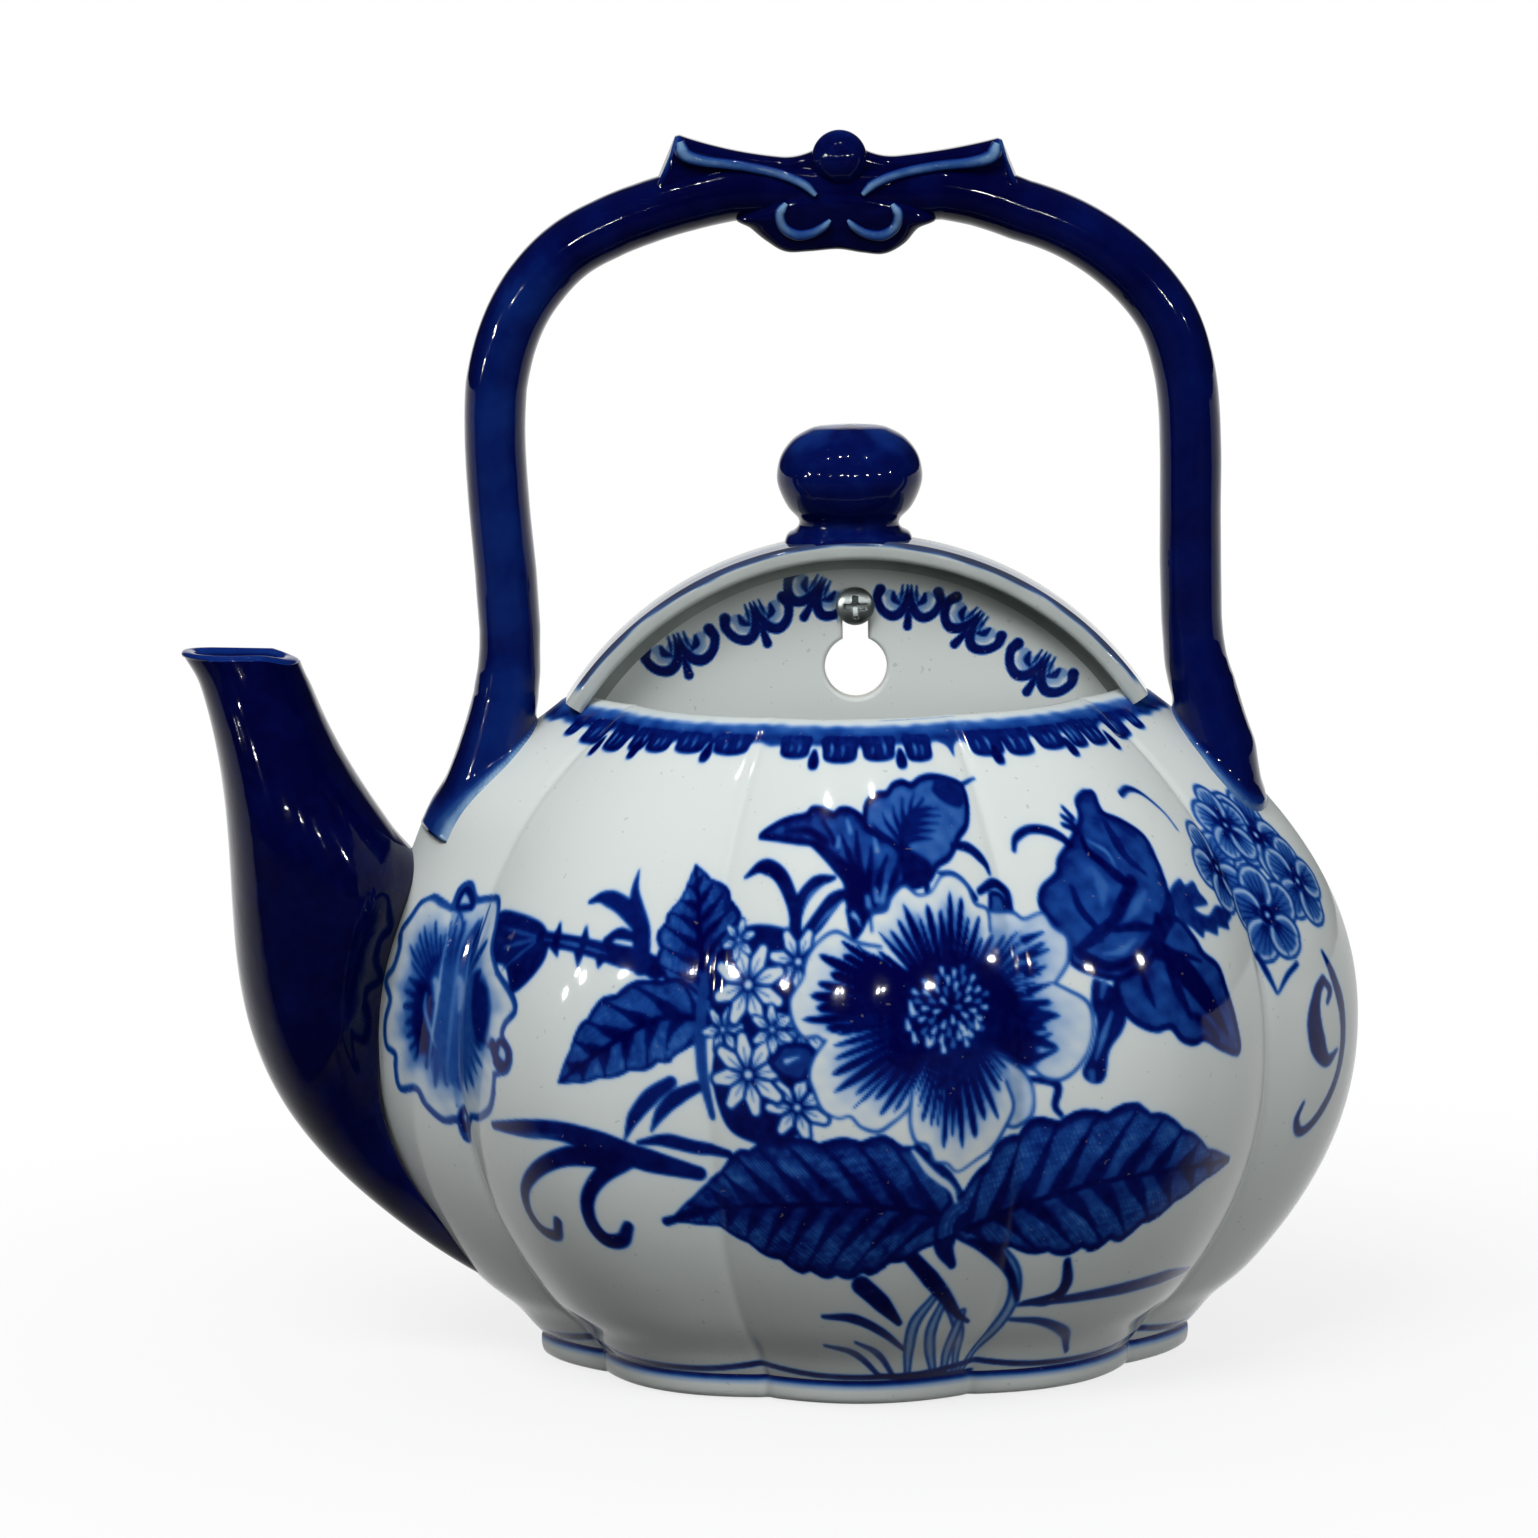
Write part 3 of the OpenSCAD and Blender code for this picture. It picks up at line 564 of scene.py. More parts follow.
# The closed bud on the right with its own leaves.
BUD = [
    (patch, [(65.7, -33.5), (61.6, -35), (60, -38.1), (55, -41.9), (49.9, -45.3), (48.1, -48), (43.6, -50.7),
     (42.2, -53.8), (43.7, -56.7), (45.1, -59.2), (46.5, -62.1), (46.6, -65.4), (51.2, -67.8), (56.4, -68.9),
     (62.5, -67.5), (66.1, -65), (73.4, -57.1), (75, -53.5), (76.2, -46.9), (76, -42.7), (71.7, -39.5),
     (67.7, -37.8), (67.4, -35.8), (68.2, -33.7)], blotted(0.68, 0.1, 4, 4, 2, 0.1, -3), 0.3, 1),
    (stroke, [(57.9, -40.7), (57.8, -44), (60.6, -46.9), (63.5, -50), (65.9, -51.1)],
     [0.9, 1.6, 1.8, 2.6, 1.4]),
    (stroke, [(66.6, -39), (66.7, -42.3), (67.5, -46.1), (70.8, -49.7)], [1, 2.6, 1.8, 0.8], 0.84),
    (stroke, [(50.5, -50.9), (51, -55), (53.3, -58.6), (53.9, -61)], [1, 1.8, 1.6, 1.2]),
    (stroke, [(66.1, -50.7), (62, -54.1), (58, -57.6), (53, -60.3), (47.9, -63)], [2.6, 2.6, 2.2, 2.6, 1.4]),
    (stroke, [(57.3, -59.4), (62.8, -59.3), (67.7, -60)], [1.2, 1.8, 1.2]),
    (stroke, [(69.5, -57.7), (65.9, -62.1), (60.7, -65.4), (54.2, -66.4), (48.3, -63.5)],
     [1.2, 1.6, 1.8, 2, 2.2]),
    (stroke, [(75.1, -54.4), (72.9, -58), (67.8, -61.3)], [1.6, 4.2, 2]),
    (stroke, [(58.9, -42.2), (62.7, -44.8), (63.3, -48.1)], [0.3, 1.1, 0.3], 0.42),
    (stroke, [(57.2, -47.2), (57.8, -50.9), (56.5, -54.6)], [0.6, 3.4, 0.8], 0.52, 0.8),
    (stroke, [(68.7, -52.8), (64.4, -55.7), (61, -57.8)], [0.8, 2.6, 0.6], 0.5, 0.7),
    (stroke, [(61.9, -61.7), (57.7, -63.7), (53.7, -63.9)], [0.4, 1.6, 0.4], 0.42, 0.5),
    (hatch, [[(57.8, -37.9), (56.6, -35.9)], [(57.1, -38.9), (55.2, -37.4)], [(57, -40), (54.3, -39)]],
     [1.4, 1], 0.9),
    (stroke, [(39.3, -43.2), (40.7, -41), (44.6, -39.5), (49, -39.8), (52.2, -41.1), (54, -42.8)],
     [1, 1.6, 1.6, 1.8, 2, 1.6]),
    (patch, [(55.8, -69.1), (55.5, -73.6), (58.1, -77.5), (62.6, -79.8), (66.5, -79.6), (69.1, -82.4),
     (72.3, -83.7), (75.8, -83.3), (81.1, -86.1), (87.3, -87.8), (86.4, -81.5), (84.5, -74.7), (83.2, -69.7),
     (79.4, -66.6), (77.8, -63.2), (74.3, -58.9), (68.3, -62.6), (62.7, -67)],
     blotted(0.69, 0.1, 3.5, 3.5, 5), 0.3, 1.2),
    (stroke, [(66.9, -63.6), (71.4, -68), (76.6, -74.5), (83.1, -83.5)], [3, 5.5, 4, 1], 0.95),
    (stroke, [(61.5, -67.9), (62.1, -71.8), (63.2, -75.3)], [1, 1.6, 0.6]),
    (stroke, [(68.6, -68.1), (69.9, -73.2), (72.2, -78.4)], [2, 2.4, 0.6]),
    (stroke, [(66.2, -65.7), (72.2, -65.7), (78.1, -67.9)], [1, 1.4, 0.6]),
    (stroke, [(71.6, -77.8), (75.5, -79.8), (79.7, -83.9)], [1, 2.2, 1.2]),
    (patch, [(50.5, -68.5), (49.2, -73.2), (49.9, -77.1), (48.6, -82.4), (46.3, -87.3), (48.4, -89.6),
     (50.9, -88.8), (52.1, -83.2), (55.1, -79.5), (56.4, -76.2), (55.5, -71.7), (53.5, -69.9)], 0.88),
    (stroke, [(53.3, -75.4), (51.2, -79.7), (49.2, -84.7)], [0.5, 1.4, 0.5], 0.42, 0.35),
    (stroke, [(52.4, -70), (51.5, -72.4)], [1.6, 0.8], 0.55, 0.4),
    (stroke, [(48.2, -87.4), (48.4, -88.9)], [1.6, 1.2], 0.55, 0.4),
    (patch, [(75.6, -53.8), (80.7, -51.7), (81.7, -53.1), (85.3, -52.8), (85.7, -55), (87.1, -57.6),
     (81.6, -57.7), (85.3, -59.7), (90.6, -58.4), (95.4, -61.1), (92.8, -62.2), (92, -63.5), (87.9, -62.4),
     (86.4, -63.8), (82.5, -62.4), (80.9, -63.6), (78.2, -61.1), (75.1, -58.8)], 0.78, 0.35)]

# The two broad leaves over the large flower, and the blades at its left.
UPPER_LEAVES = [
    (patch, [(-26.7, -39.4), (-23, -37.1), (-19.1, -35.8), (-15, -35.1), (-13.3, -33.9), (-10.1, -34.1),
     (-7.5, -34.9), (-5.7, -34), (-3, -34.1), (0, -35.5), (1.4, -37.4), (5.2, -38.9), (8.9, -40.4),
     (10.7, -43), (10.2, -47.2), (7.2, -49.4), (5.9, -52.8), (1.8, -53.9), (-2.8, -52.1), (-3.7, -47.7),
     (-6.7, -44.7), (-9, -42.7), (-12.3, -40.4), (-16.7, -40), (-22, -39.6)],
     blotted(0.66, 0.11, 2.2, 5, 2, 0.14, -2.2, -0.3), 0.3, 1, 0.94),
    (stroke, [(-12.7, -40.2), (-7.5, -42.9), (-3.3, -46.4), (-1.6, -51.6)], [1, 2.6, 3.4, 4.5], 0.92, 0.4),
    (stroke, [(-5.3, -38.8), (-3.8, -41.3), (-1.4, -46.4)], [0.6, 1.6, 2.4], 0.92, 0.4),
    (stroke, [(-1.4, -38), (-1.1, -41.9), (-0.1, -48.1)], [0.5, 1.4, 2.2], 0.92, 0.4),
    (stroke, [(2.3, -40.8), (1.8, -44.2), (0.9, -49.3)], [0.5, 1.5, 2], 0.92, 0.4),
    (stroke, [(6, -42.6), (4.3, -45.9), (2.6, -51)], [0.5, 1.6, 2], 0.92, 0.4),
    (stroke, [(9.8, -42.7), (7.5, -46.6), (5.1, -50.2)], [1.2, 1.6, 0.8], 0.92, 0.4),
    (stroke, [(-10.3, -36), (-8.5, -37.9), (-6, -41.3)], [0.4, 1, 1.2], 0.92, 0.4),
    (stroke, [(-19.9, -38.1), (-13.7, -38), (-9.2, -39.9)], [0.6, 1.4, 1.6], 0.92, 0.4),
    (hatch, [[(-5.9, -39.1), (-6.1, -40.7)], [(-3.8, -36), (-3, -37.9)], [(3.2, -39.4), (3.6, -41.4)],
     [(2.9, -48.8), (3.1, -50.8)], [(5.4, -48.2), (4.3, -50.8)], [(0.9, -50.1), (1.2, -51.6)]], [0.9, 1.3],
     0.36, 0.45),
    (patch, [(1.3, -37.6), (0.9, -34.9), (1.8, -32.7), (4.7, -31.4), (7.3, -31.2), (9.3, -29.8),
     (12.1, -29.3), (14.7, -29.9), (17.7, -28.9), (21.6, -28.6), (26.6, -29.4), (29.8, -30.6), (30.3, -32.8),
     (29.5, -35.6), (28, -38.1), (25.2, -40), (23.3, -42.1), (21.2, -43.8), (18.2, -44.9), (15.5, -47.5),
     (11.7, -48.4), (10, -46.7), (9.8, -42.7), (7.8, -40.4), (5.2, -39.2)],
     blotted(0.53, 0.08, 3, 3, 4, 0.12, -1.6, -0.3), 0.3, 1.1, 0.93),
    (patch, [(9.7, -40.1), (12.6, -41.9), (16.1, -43.8), (16.9, -45.8), (15, -48), (11.6, -48.7),
     (9.9, -46.7)], 0.93, 0.8),
    (patch, [(21.8, -29.3), (26.4, -29.7), (29.5, -31.2), (28.7, -34.3), (25.8, -34.4), (22.3, -32.9),
     (20.3, -30.9)], 0.82, 0.5),
    (stroke, [(12.5, -45.1), (10.1, -40.1), (12, -36.3), (17.5, -32.5)], [2.6, 2, 1.2, 0.4], 0.92, 0.4),
    (hatch, [[(10.9, -40.3), (14.1, -39.7), (18.1, -39.9)], [(11.3, -38.9), (14.8, -38.3), (19.3, -38.5)],
     [(11.9, -37.6), (15.9, -37), (20.5, -37.1)], [(12.8, -36.4), (16.7, -35.6), (21.4, -35.8)],
     [(13.8, -35.3), (17.4, -34.4), (21.3, -34.5)], [(9.1, -39.3), (6.6, -36.7), (5.6, -34.7)], [(10, -38.2),
     (8.8, -35.3), (8.7, -33.5)], [(11.2, -37.1), (11.1, -34.3), (11.5, -32.2)], [(12.9, -35.7),
     (13.8, -33.2), (15.2, -31.3)], [(6.3, -39.5), (4.1, -38), (3, -36.6)]], [1.3, 1, 0.2], 0.86, 0.35),
    (stroke, [(29.8, -30.6), (32.1, -30.1), (35, -29.6)], [0.9, 0.7, 0.4]),
    (stroke, [(23.1, -41.4), (27.5, -42.2), (30.8, -45.1), (31.6, -47.3)], [1.2, 2, 2, 0.8]),
    (stroke, [(-29, -47.2), (-24.8, -44.9), (-19.9, -46.4), (-16.1, -51.8), (-14.7, -58.3)],
     [0.5, 3, 3.2, 2.8, 2]),
    (stroke, [(-6.7, -46.5), (-10.9, -47.5), (-14.2, -50.9), (-15.4, -55.6), (-14.3, -59.6)],
     [0.8, 2.8, 3, 2.6, 2]),
    (stroke, [(-8.7, -47.4), (-12.1, -49.7), (-13.7, -52.6)], [0.3, 0.8, 0.3], 0.45),
    (stroke, [(-2.2, -49.1), (-6.4, -50.5), (-10.4, -54.9), (-13.7, -59), (-15.4, -63.8)],
     [1.2, 3.2, 3.2, 2.6, 1.6]),
    (stroke, [(-4.7, -50.5), (-8.4, -53.7), (-11, -56.6)], [0.3, 0.9, 0.3], 0.45),
    (stroke, [(-20.8, -56.9), (-17.9, -58), (-16.3, -60.3), (-15.4, -64.9)], [0.8, 2.2, 2.2, 1])]

# The half-turned flower at the left, with its calyx and thorned stem.
LEFT_HEART = (-106.4, -78.8)
LEFT_RIM = [(-120.3, -58.1), (-115.9, -58.8), (-112.4, -59.4), (-112.3, -55.5), (-109.8, -54.4),
            (-106.3, -57), (-102.5, -56.6), (-97.1, -56.2), (-93.9, -60.1), (-92.4, -65), (-87.8, -69.3),
            (-81.7, -72.5), (-79.3, -75.7), (-82.2, -78.8), (-82.8, -81.7), (-79.9, -84.6), (-80.9, -88.1),
            (-85.3, -89.8), (-86.2, -93.9), (-88.5, -97.7), (-93.6, -100.1), (-98.7, -101.1),
            (-103.3, -106.6), (-104.7, -102.7), (-109.1, -103.2), (-113.8, -100.5), (-116.2, -97.3),
            (-122.1, -98.2), (-123, -94.6), (-122.8, -91), (-126.4, -89.6), (-126.8, -84.7), (-125.4, -79.9),
            (-128.5, -76.4), (-126.2, -73.3), (-125.7, -69.2), (-127.3, -66), (-125.5, -62.9),
            (-123.7, -59.6)]
LEFT_FLOWER = [
    (patch, [(-94, -57.9), (-85.3, -57.1), (-76, -58.5), (-72.9, -63.2), (-74.7, -67.6), (-79.6, -72.1),
     (-82.1, -71.2), (-85.3, -67.8), (-92.3, -67.2), (-93.5, -62.5)], 0.88, 0.35),
    (hatch, [[(-75.7, -60.8), (-83, -60.6), (-90.6, -60.5)], [(-75.7, -60.8), (-81.9, -62.6),
     (-88.1, -64.4)], [(-75.7, -60.8), (-80.9, -64.6), (-86, -68.5)]], [0.5, 0.9, 0.3], 0.62, 0.3),
    (patch, LEFT_RIM, 0.05, 0.3, 1.7, 0.9),
    (petal, LEFT_HEART, LEFT_RIM[36:] + LEFT_RIM[:3], 8, 0.4, 0.8, 0.04, 0.8, 0.7, 1.1),
    (petal, LEFT_HEART, LEFT_RIM[25:37], 9, 0.45, 0.72, 0.04, 0.8, 0.66, 1.1),
    (petal, LEFT_HEART, LEFT_RIM[17:26], 8, 0.42, 0.8, 0.06, 0.66, 0.6, 1.1),
    (petal, LEFT_HEART, LEFT_RIM[10:18], 7, 0.4, 0.74, 0.06, 0.7, 0.62, 1.1),
    (petal, LEFT_HEART, LEFT_RIM[2:11], 7, 0.4, 0.84, 0.1, 0.76, 0.62, 1.1),
    (patch, [(-83.8, -83), (-81.1, -83.7), (-80.5, -86.2), (-82.5, -88.2), (-85, -87.1)], 0.16, 0.3, 1.3,
     0.88),
    (patch, [(-110.7, -59), (-111.3, -56.5), (-110.2, -55.3), (-107.7, -56.6), (-106.5, -58.6)], 0.16, 0.3,
     1.3, 0.88),
    (patch, [(-103.9, -101.9), (-102.1, -100), (-100.7, -101.5), (-103.3, -104.8)], 0.16, 0.3, 1.3, 0.88),
    (patch, [(-111, -71.3), (-105, -69.5), (-96.6, -73.3), (-93.6, -82.2), (-97.4, -91.8), (-107.3, -93.3),
     (-110.7, -85.8), (-111.9, -76.9)], 0.6, 2.2),
    (patch, [(-116.5, -75.8), (-113.3, -74.3), (-111.1, -79.1), (-110.9, -84.7), (-111.2, -89),
     (-114.8, -88.6), (-116.7, -83.2)], 0.9, 1.2),
    (patch, [(-97.7, -71.8), (-92.2, -71.5), (-88.4, -75.9), (-88.2, -81.4), (-91.6, -85.2), (-95, -81.3),
     (-97.1, -76.1)], 0.82, 1.4),
    (stroke, [(-111.2, -74), (-110.1, -75.6), (-110.2, -77.9)], [1.6, 2.2, 1], 0.3, 0.5),
    (stroke, [(-104.4, -72.8), (-103.2, -75.4), (-103.3, -79.3)], [1.4, 2.4, 1.2], 0.34, 0.5),
    (stroke, [(-113.2, -77.1), (-113, -80.4), (-110.9, -84.7), (-109.4, -87.9)], [0.6, 1.2, 1.2, 0.5], 0.36,
     0.4),
    (stroke, [(-98.9, -65.9), (-98.9, -63.2), (-98.3, -59.9)], [0.6, 2, 0.5], 0.12, 0.4),
    (stroke, [(-103.3, -67.4), (-101.9, -64.2), (-102.2, -60.4)], [0.8, 1.8, 0.5], 0.86, 0.4),
    (stroke, [(-111.65, -92.55), (-109.6875, -78.8625), (-110.525, -65.175)], [0.4, 1, 0.4], 0.22, 0.35),
    (hatch, [[(-106.4, -94.8), (-105, -78.3), (-106.4, -61.8)], [(-102.9, -93.3), (-101.875, -78.675),
     (-103.65, -64.05)]], [0.4, 1, 0.4], 0.4, 0.35),
    (stroke, [(-112.4, -59.4), (-109.3, -60), (-106.8, -63.1), (-106.7, -66.9)], [0.5, 0.6, 0.6, 0.4], 0.8),
    (stroke, [(-100.3, -57.4), (-100, -62.3), (-100.7, -67.3)], [0.5, 0.8, 0.4], 0.8),
    (stroke, [(-86, -83.8), (-84.4, -86.3), (-81.6, -87.3)], [2.6, 2.2, 1], 0.85),
    (stroke, [(-75.7, -60.9), (-66.5, -61.2), (-58.1, -62.3), (-49.8, -63.8), (-46, -65.3)],
     [3, 3, 3.4, 4.4, 4], 0.9),
    (stroke, [(-74.8, -61), (-66.4, -61.3), (-58, -62.6)], [0.4, 0.9, 0.4], 0.55),
    (hatch, [[(-71.3, -60.2), (-71.6, -57.4)], [(-63.9, -60.6), (-64.4, -57.5)], [(-57, -61.5),
     (-58.9, -59.5)], [(-64.5, -62.8), (-64, -65.7)], [(-71.3, -62), (-69.8, -64)], [(-59, -63.7),
     (-59.2, -65.5)]], [2.4, 0.3], 0.9)]

# The leaves between the half-turned flower and the daisies.
LEFT_LEAVES = [
    (stroke, [(-49.5, -64.8), (-51.2, -57.6), (-54.8, -51.1), (-55.8, -46.3)], [3.6, 4, 2.8, 0.3], 0.84),
    (stroke, [(-52, -57.1), (-56.7, -53.4), (-62.1, -51.9), (-65.6, -53)], [2.4, 3.6, 3.2, 0.8], 0.86),
    (stroke, [(-58.7, -60), (-56, -58.6), (-52.3, -59.2)], [1.4, 2.4, 1.6], 0.9),
    (leaf, [(-35.4, -67.3), (-37.8, -59.4), (-39.4, -52.2), (-42.1, -45.2)], [5, 9, 9, 8.4, 6.4, 2.4, 0],
     [4, 9.2, 10.4, 9.6, 7.2, 3, 0], 0.7, 6, 5, 0.12, 0.75, 0.12),
    (leaf, [(-35.5, -74.7), (-43.8, -74.8), (-52.6, -79.2), (-66.1, -89.1)], [4, 8.2, 8.6, 7.6, 5.6, 3.2, 0],
     [4, 7.2, 8.4, 8.6, 7, 3.6, 0], 0.66, 6, 5, 0.11, 0.75, 0.06),
    (stroke, [(-41.8, -87.8), (-45.7, -90.6), (-49.5, -95.1), (-51.8, -99.9)], [2.6, 3.6, 2.8, 0.4], 0.88),
    (stroke, [(-36.6, -88.8), (-40.8, -91), (-43.9, -94.1), (-46.2, -98.1)], [2.4, 3.4, 2.6, 0.4], 0.88),
    (stroke, [(-35.8, -66.2), (-35.9, -75.2), (-35.2, -86.1), (-33.3, -94.8)], [1.8, 2.4, 2.2, 1.6], 0.7)]

# The close cluster of small white flowers between the leaves and the large flower.
DAISIES = [
    (patch, [(-29.4, -57.5), (-23.5, -55.8), (-15.9, -56.9), (-10.6, -61.7), (-11, -69.8), (-12.2, -77.7),
     (-10.1, -85.7), (-11.9, -94.4), (-18, -99.6), (-24.5, -99.2), (-29.9, -96.3), (-33, -87.5),
     (-32.6, -79), (-34.6, -69.1), (-33.5, -62.2)], 0.92, 0.4),
    (daisy, (-14.2, -62.5), 6.2, 0.3, 7),
    (daisy, (-12.8, -75.4), 6.2, 0.1, 7),
    (daisy, (-14.1, -91.5), 6.4, 0.5, 7),
    (daisy, (-30.7, -76.8), 4.6, 0.2, 6),
    (daisy, (-25.2, -67.5), 8, 0.39),
    (daisy, (-24.6, -85.4), 8, 0.2),
    (daisy, (-19.4, -76), 4.6, 0.6, 6),
    (daisy, (-28.4, -59), 3.8, 0.4, 6)]

# The long curled blades under the daisies.
LOWER_BLADES = [
    (stroke, [(-29.6, -102.3), (-36.8, -101.4), (-43.4, -99.9), (-49, -100.5)], [1.6, 2.8, 3, 1], 0.9),
    (stroke, [(-87.3, -100.9), (-77.7, -100), (-67.2, -99.3), (-57.8, -100.9), (-49.4, -103.7),
     (-37, -106.9)], [1.6, 3.6, 4.2, 5, 5, 3], 0.9),
    (stroke, [(-81.4, -101.4), (-73.1, -100.9), (-66, -100.2)], [0.4, 1.4, 0.4], 0.68, 0.5),
    (stroke, [(-55.2, -103.9), (-65.3, -104.5), (-73.9, -108.1), (-80.3, -113.4), (-82, -118.7),
     (-79.8, -122.6), (-75.1, -123.2), (-73, -119.8)], [4.4, 4.6, 3.8, 3.2, 2.6, 2.4, 2.6, 2.2]),
    (stroke, [(-52.3, -104.3), (-58.3, -108.2), (-62.6, -113.4), (-63.5, -118.7), (-61.3, -122.5),
     (-57.1, -122.4), (-54.6, -119.1)], [4.4, 3.8, 3.2, 3.2, 3.4, 3.4, 2.4])]

# Stems and grass at the foot.
ROOTS = [
    (stroke, [(48.3, -128.2), (50.1, -134), (47.9, -137.2), (40.9, -137.8)], [1.6, 2.8, 2.8, 1], 0.93),
    (stroke, [(40, -138.2), (51.8, -137.5), (65.9, -136.7), (81.7, -136.1), (95.3, -136.8)],
     [1, 2.2, 3, 3.2, 0.6], 0.8),
    (stroke, [(39.3, -141.8), (48, -142.8), (57.5, -146.5), (63.2, -151.8)], [1, 1.8, 2.2, 1.2], 0.76),
    (stroke, [(-1.6, -130.4), (2.6, -134.3), (7.7, -139.9)], [4.5, 4.2, 1.6], 0.93),
    (stroke, [(-11.4, -138.2), (-3.7, -138.6), (3.3, -142), (9.8, -147.1)], [1, 2.4, 2, 1], 0.88),
    (stroke, [(-12, -145.8), (-4.2, -147.8), (3.2, -153.8)], [0.8, 1.8, 1.2], 0.78),
    (stroke, [(-3.5, -144.7), (2.4, -147.9), (7.5, -154)], [0.8, 1.8, 1.2], 0.76),
    (blade, [(27.3, -121.6), (35.2, -128.3), (38, -136.9), (35.4, -145.5), (29.8, -154.8)]),
    (blade, [(10.8, -124.3), (17.8, -132.7), (24.8, -143.5), (27.9, -155.2)]),
    (blade, [(16, -134), (11.4, -141.6), (11.9, -154.2)]),
    (blade, [(18.6, -135.2), (16.6, -143.9), (20.6, -154.7)]),
    (blade, [(24.5, -138.6), (23.4, -146.5), (23.9, -154.9)]),
    (stroke, [(9, -123.7), (15, -130.1), (22.4, -138.4), (26.9, -141.3)], [3, 4, 2.6, 0.8], 0.93),
    (stroke, [(18.3, -115.8), (17, -122), (19.4, -126.7)], [4, 5, 2], 0.9),
    (stroke, [(21.3, -118.8), (27.6, -123), (35.2, -130.2), (39.1, -137)], [5, 4, 2.2, 1], 0.93),
    (stroke, [(2.6, -153.8), (15, -155), (34.5, -154.9)], [1.2, 2.2, 1], 0.93)]

# The two large leaves under the flower.
BIG_LEAVES = [
    (leaf, [(20.1, -116.2), (6.1, -112.9), (-6.3, -111.8), (-19.1, -112.5), (-33.2, -114.3), (-43.7, -117)],
     [3, 10.5, 15.4, 16.8, 15.2, 10.2, 4, 0.4], [5, 12, 14.6, 13.4, 13.8, 11.8, 5, 0.4], 0.75, 10, 9, 0.08,
     0.8, 0, 0.3),
    (stroke, [(-38.7, -115.2), (-42.3, -116.6), (-45.6, -117.6)], [2.6, 1.6, 2]),
    (leaf, [(22.6, -118.5), (34.4, -115.1), (51.1, -110.9), (66.9, -109.9), (87.7, -110.9)],
     [8, 14.8, 16.8, 15.6, 15, 9.5, 3.4, 0.4], [3, 9, 13.6, 15, 14, 9.5, 4, 0.6], 0.7, 9, 8, 0.1, 0.7, 0,
     0.3),
    (stroke, [(10.1, -99.4), (13.9, -103.6), (17.8, -107.1)], [1, 1.4, 0.8], 0.9),
    (stroke, [(9.3, -100.6), (13.1, -105.5), (17.5, -109.2), (18.9, -112.4)], [0.8, 1.6, 1.6, 0.8], 0.06)]

# Leaf tips, buds and lines that show round the large flower.
PEONY_FRAME = [
    (stroke, [(18.4, -46.3), (21.8, -46.6), (24.5, -48.4), (26.5, -51.7)], [0.6, 0.9, 0.9, 1.4]),
    (stroke, [(28, -50.4), (32, -49.2), (34.8, -50.9), (35.1, -53.8), (35.3, -56.2)],
     [1.5, 2, 1.8, 1.6, 0.8]),
    (patch, [(30.6, -51.2), (33.4, -51.7), (33.9, -54.4), (31.9, -56), (29.9, -54.1)], 0.6, 0.4, 0.8),
    (stroke, [(14.5, -46.7), (15, -48.7), (14.6, -50.1)], [1.2, 1.6, 0.7]),
    (stroke, [(12.6, -47.2), (12, -48.9)], [1, 0.5]),
    (patch, [(-4, -52.5), (-0.9, -52), (1.2, -53.2), (-0.3, -56.6), (-2.3, -58.3), (-3.3, -55.7)], 0.9),
    (stroke, [(-2.3, -53.4), (-1.3, -54.3), (-0.8, -55.7)], [1.3, 0.8, 0.3], 0.25),
    (stroke, [(34.3, -87.9), (40.9, -89.4), (40.6, -93.8), (41.9, -95.8)], [1, 1.6, 1.6, 1]),
    (patch, [(-17.6, -79.5), (-13.1, -78.7), (-10.6, -80.4), (-12.5, -85.4), (-16.3, -85.6), (-19.6, -82.7)],
     0.72, 0.4, 0.8),
    (stroke, [(-16.3, -82.2), (-13.7, -81.2)], [1.2, 0.4], 0.15)]

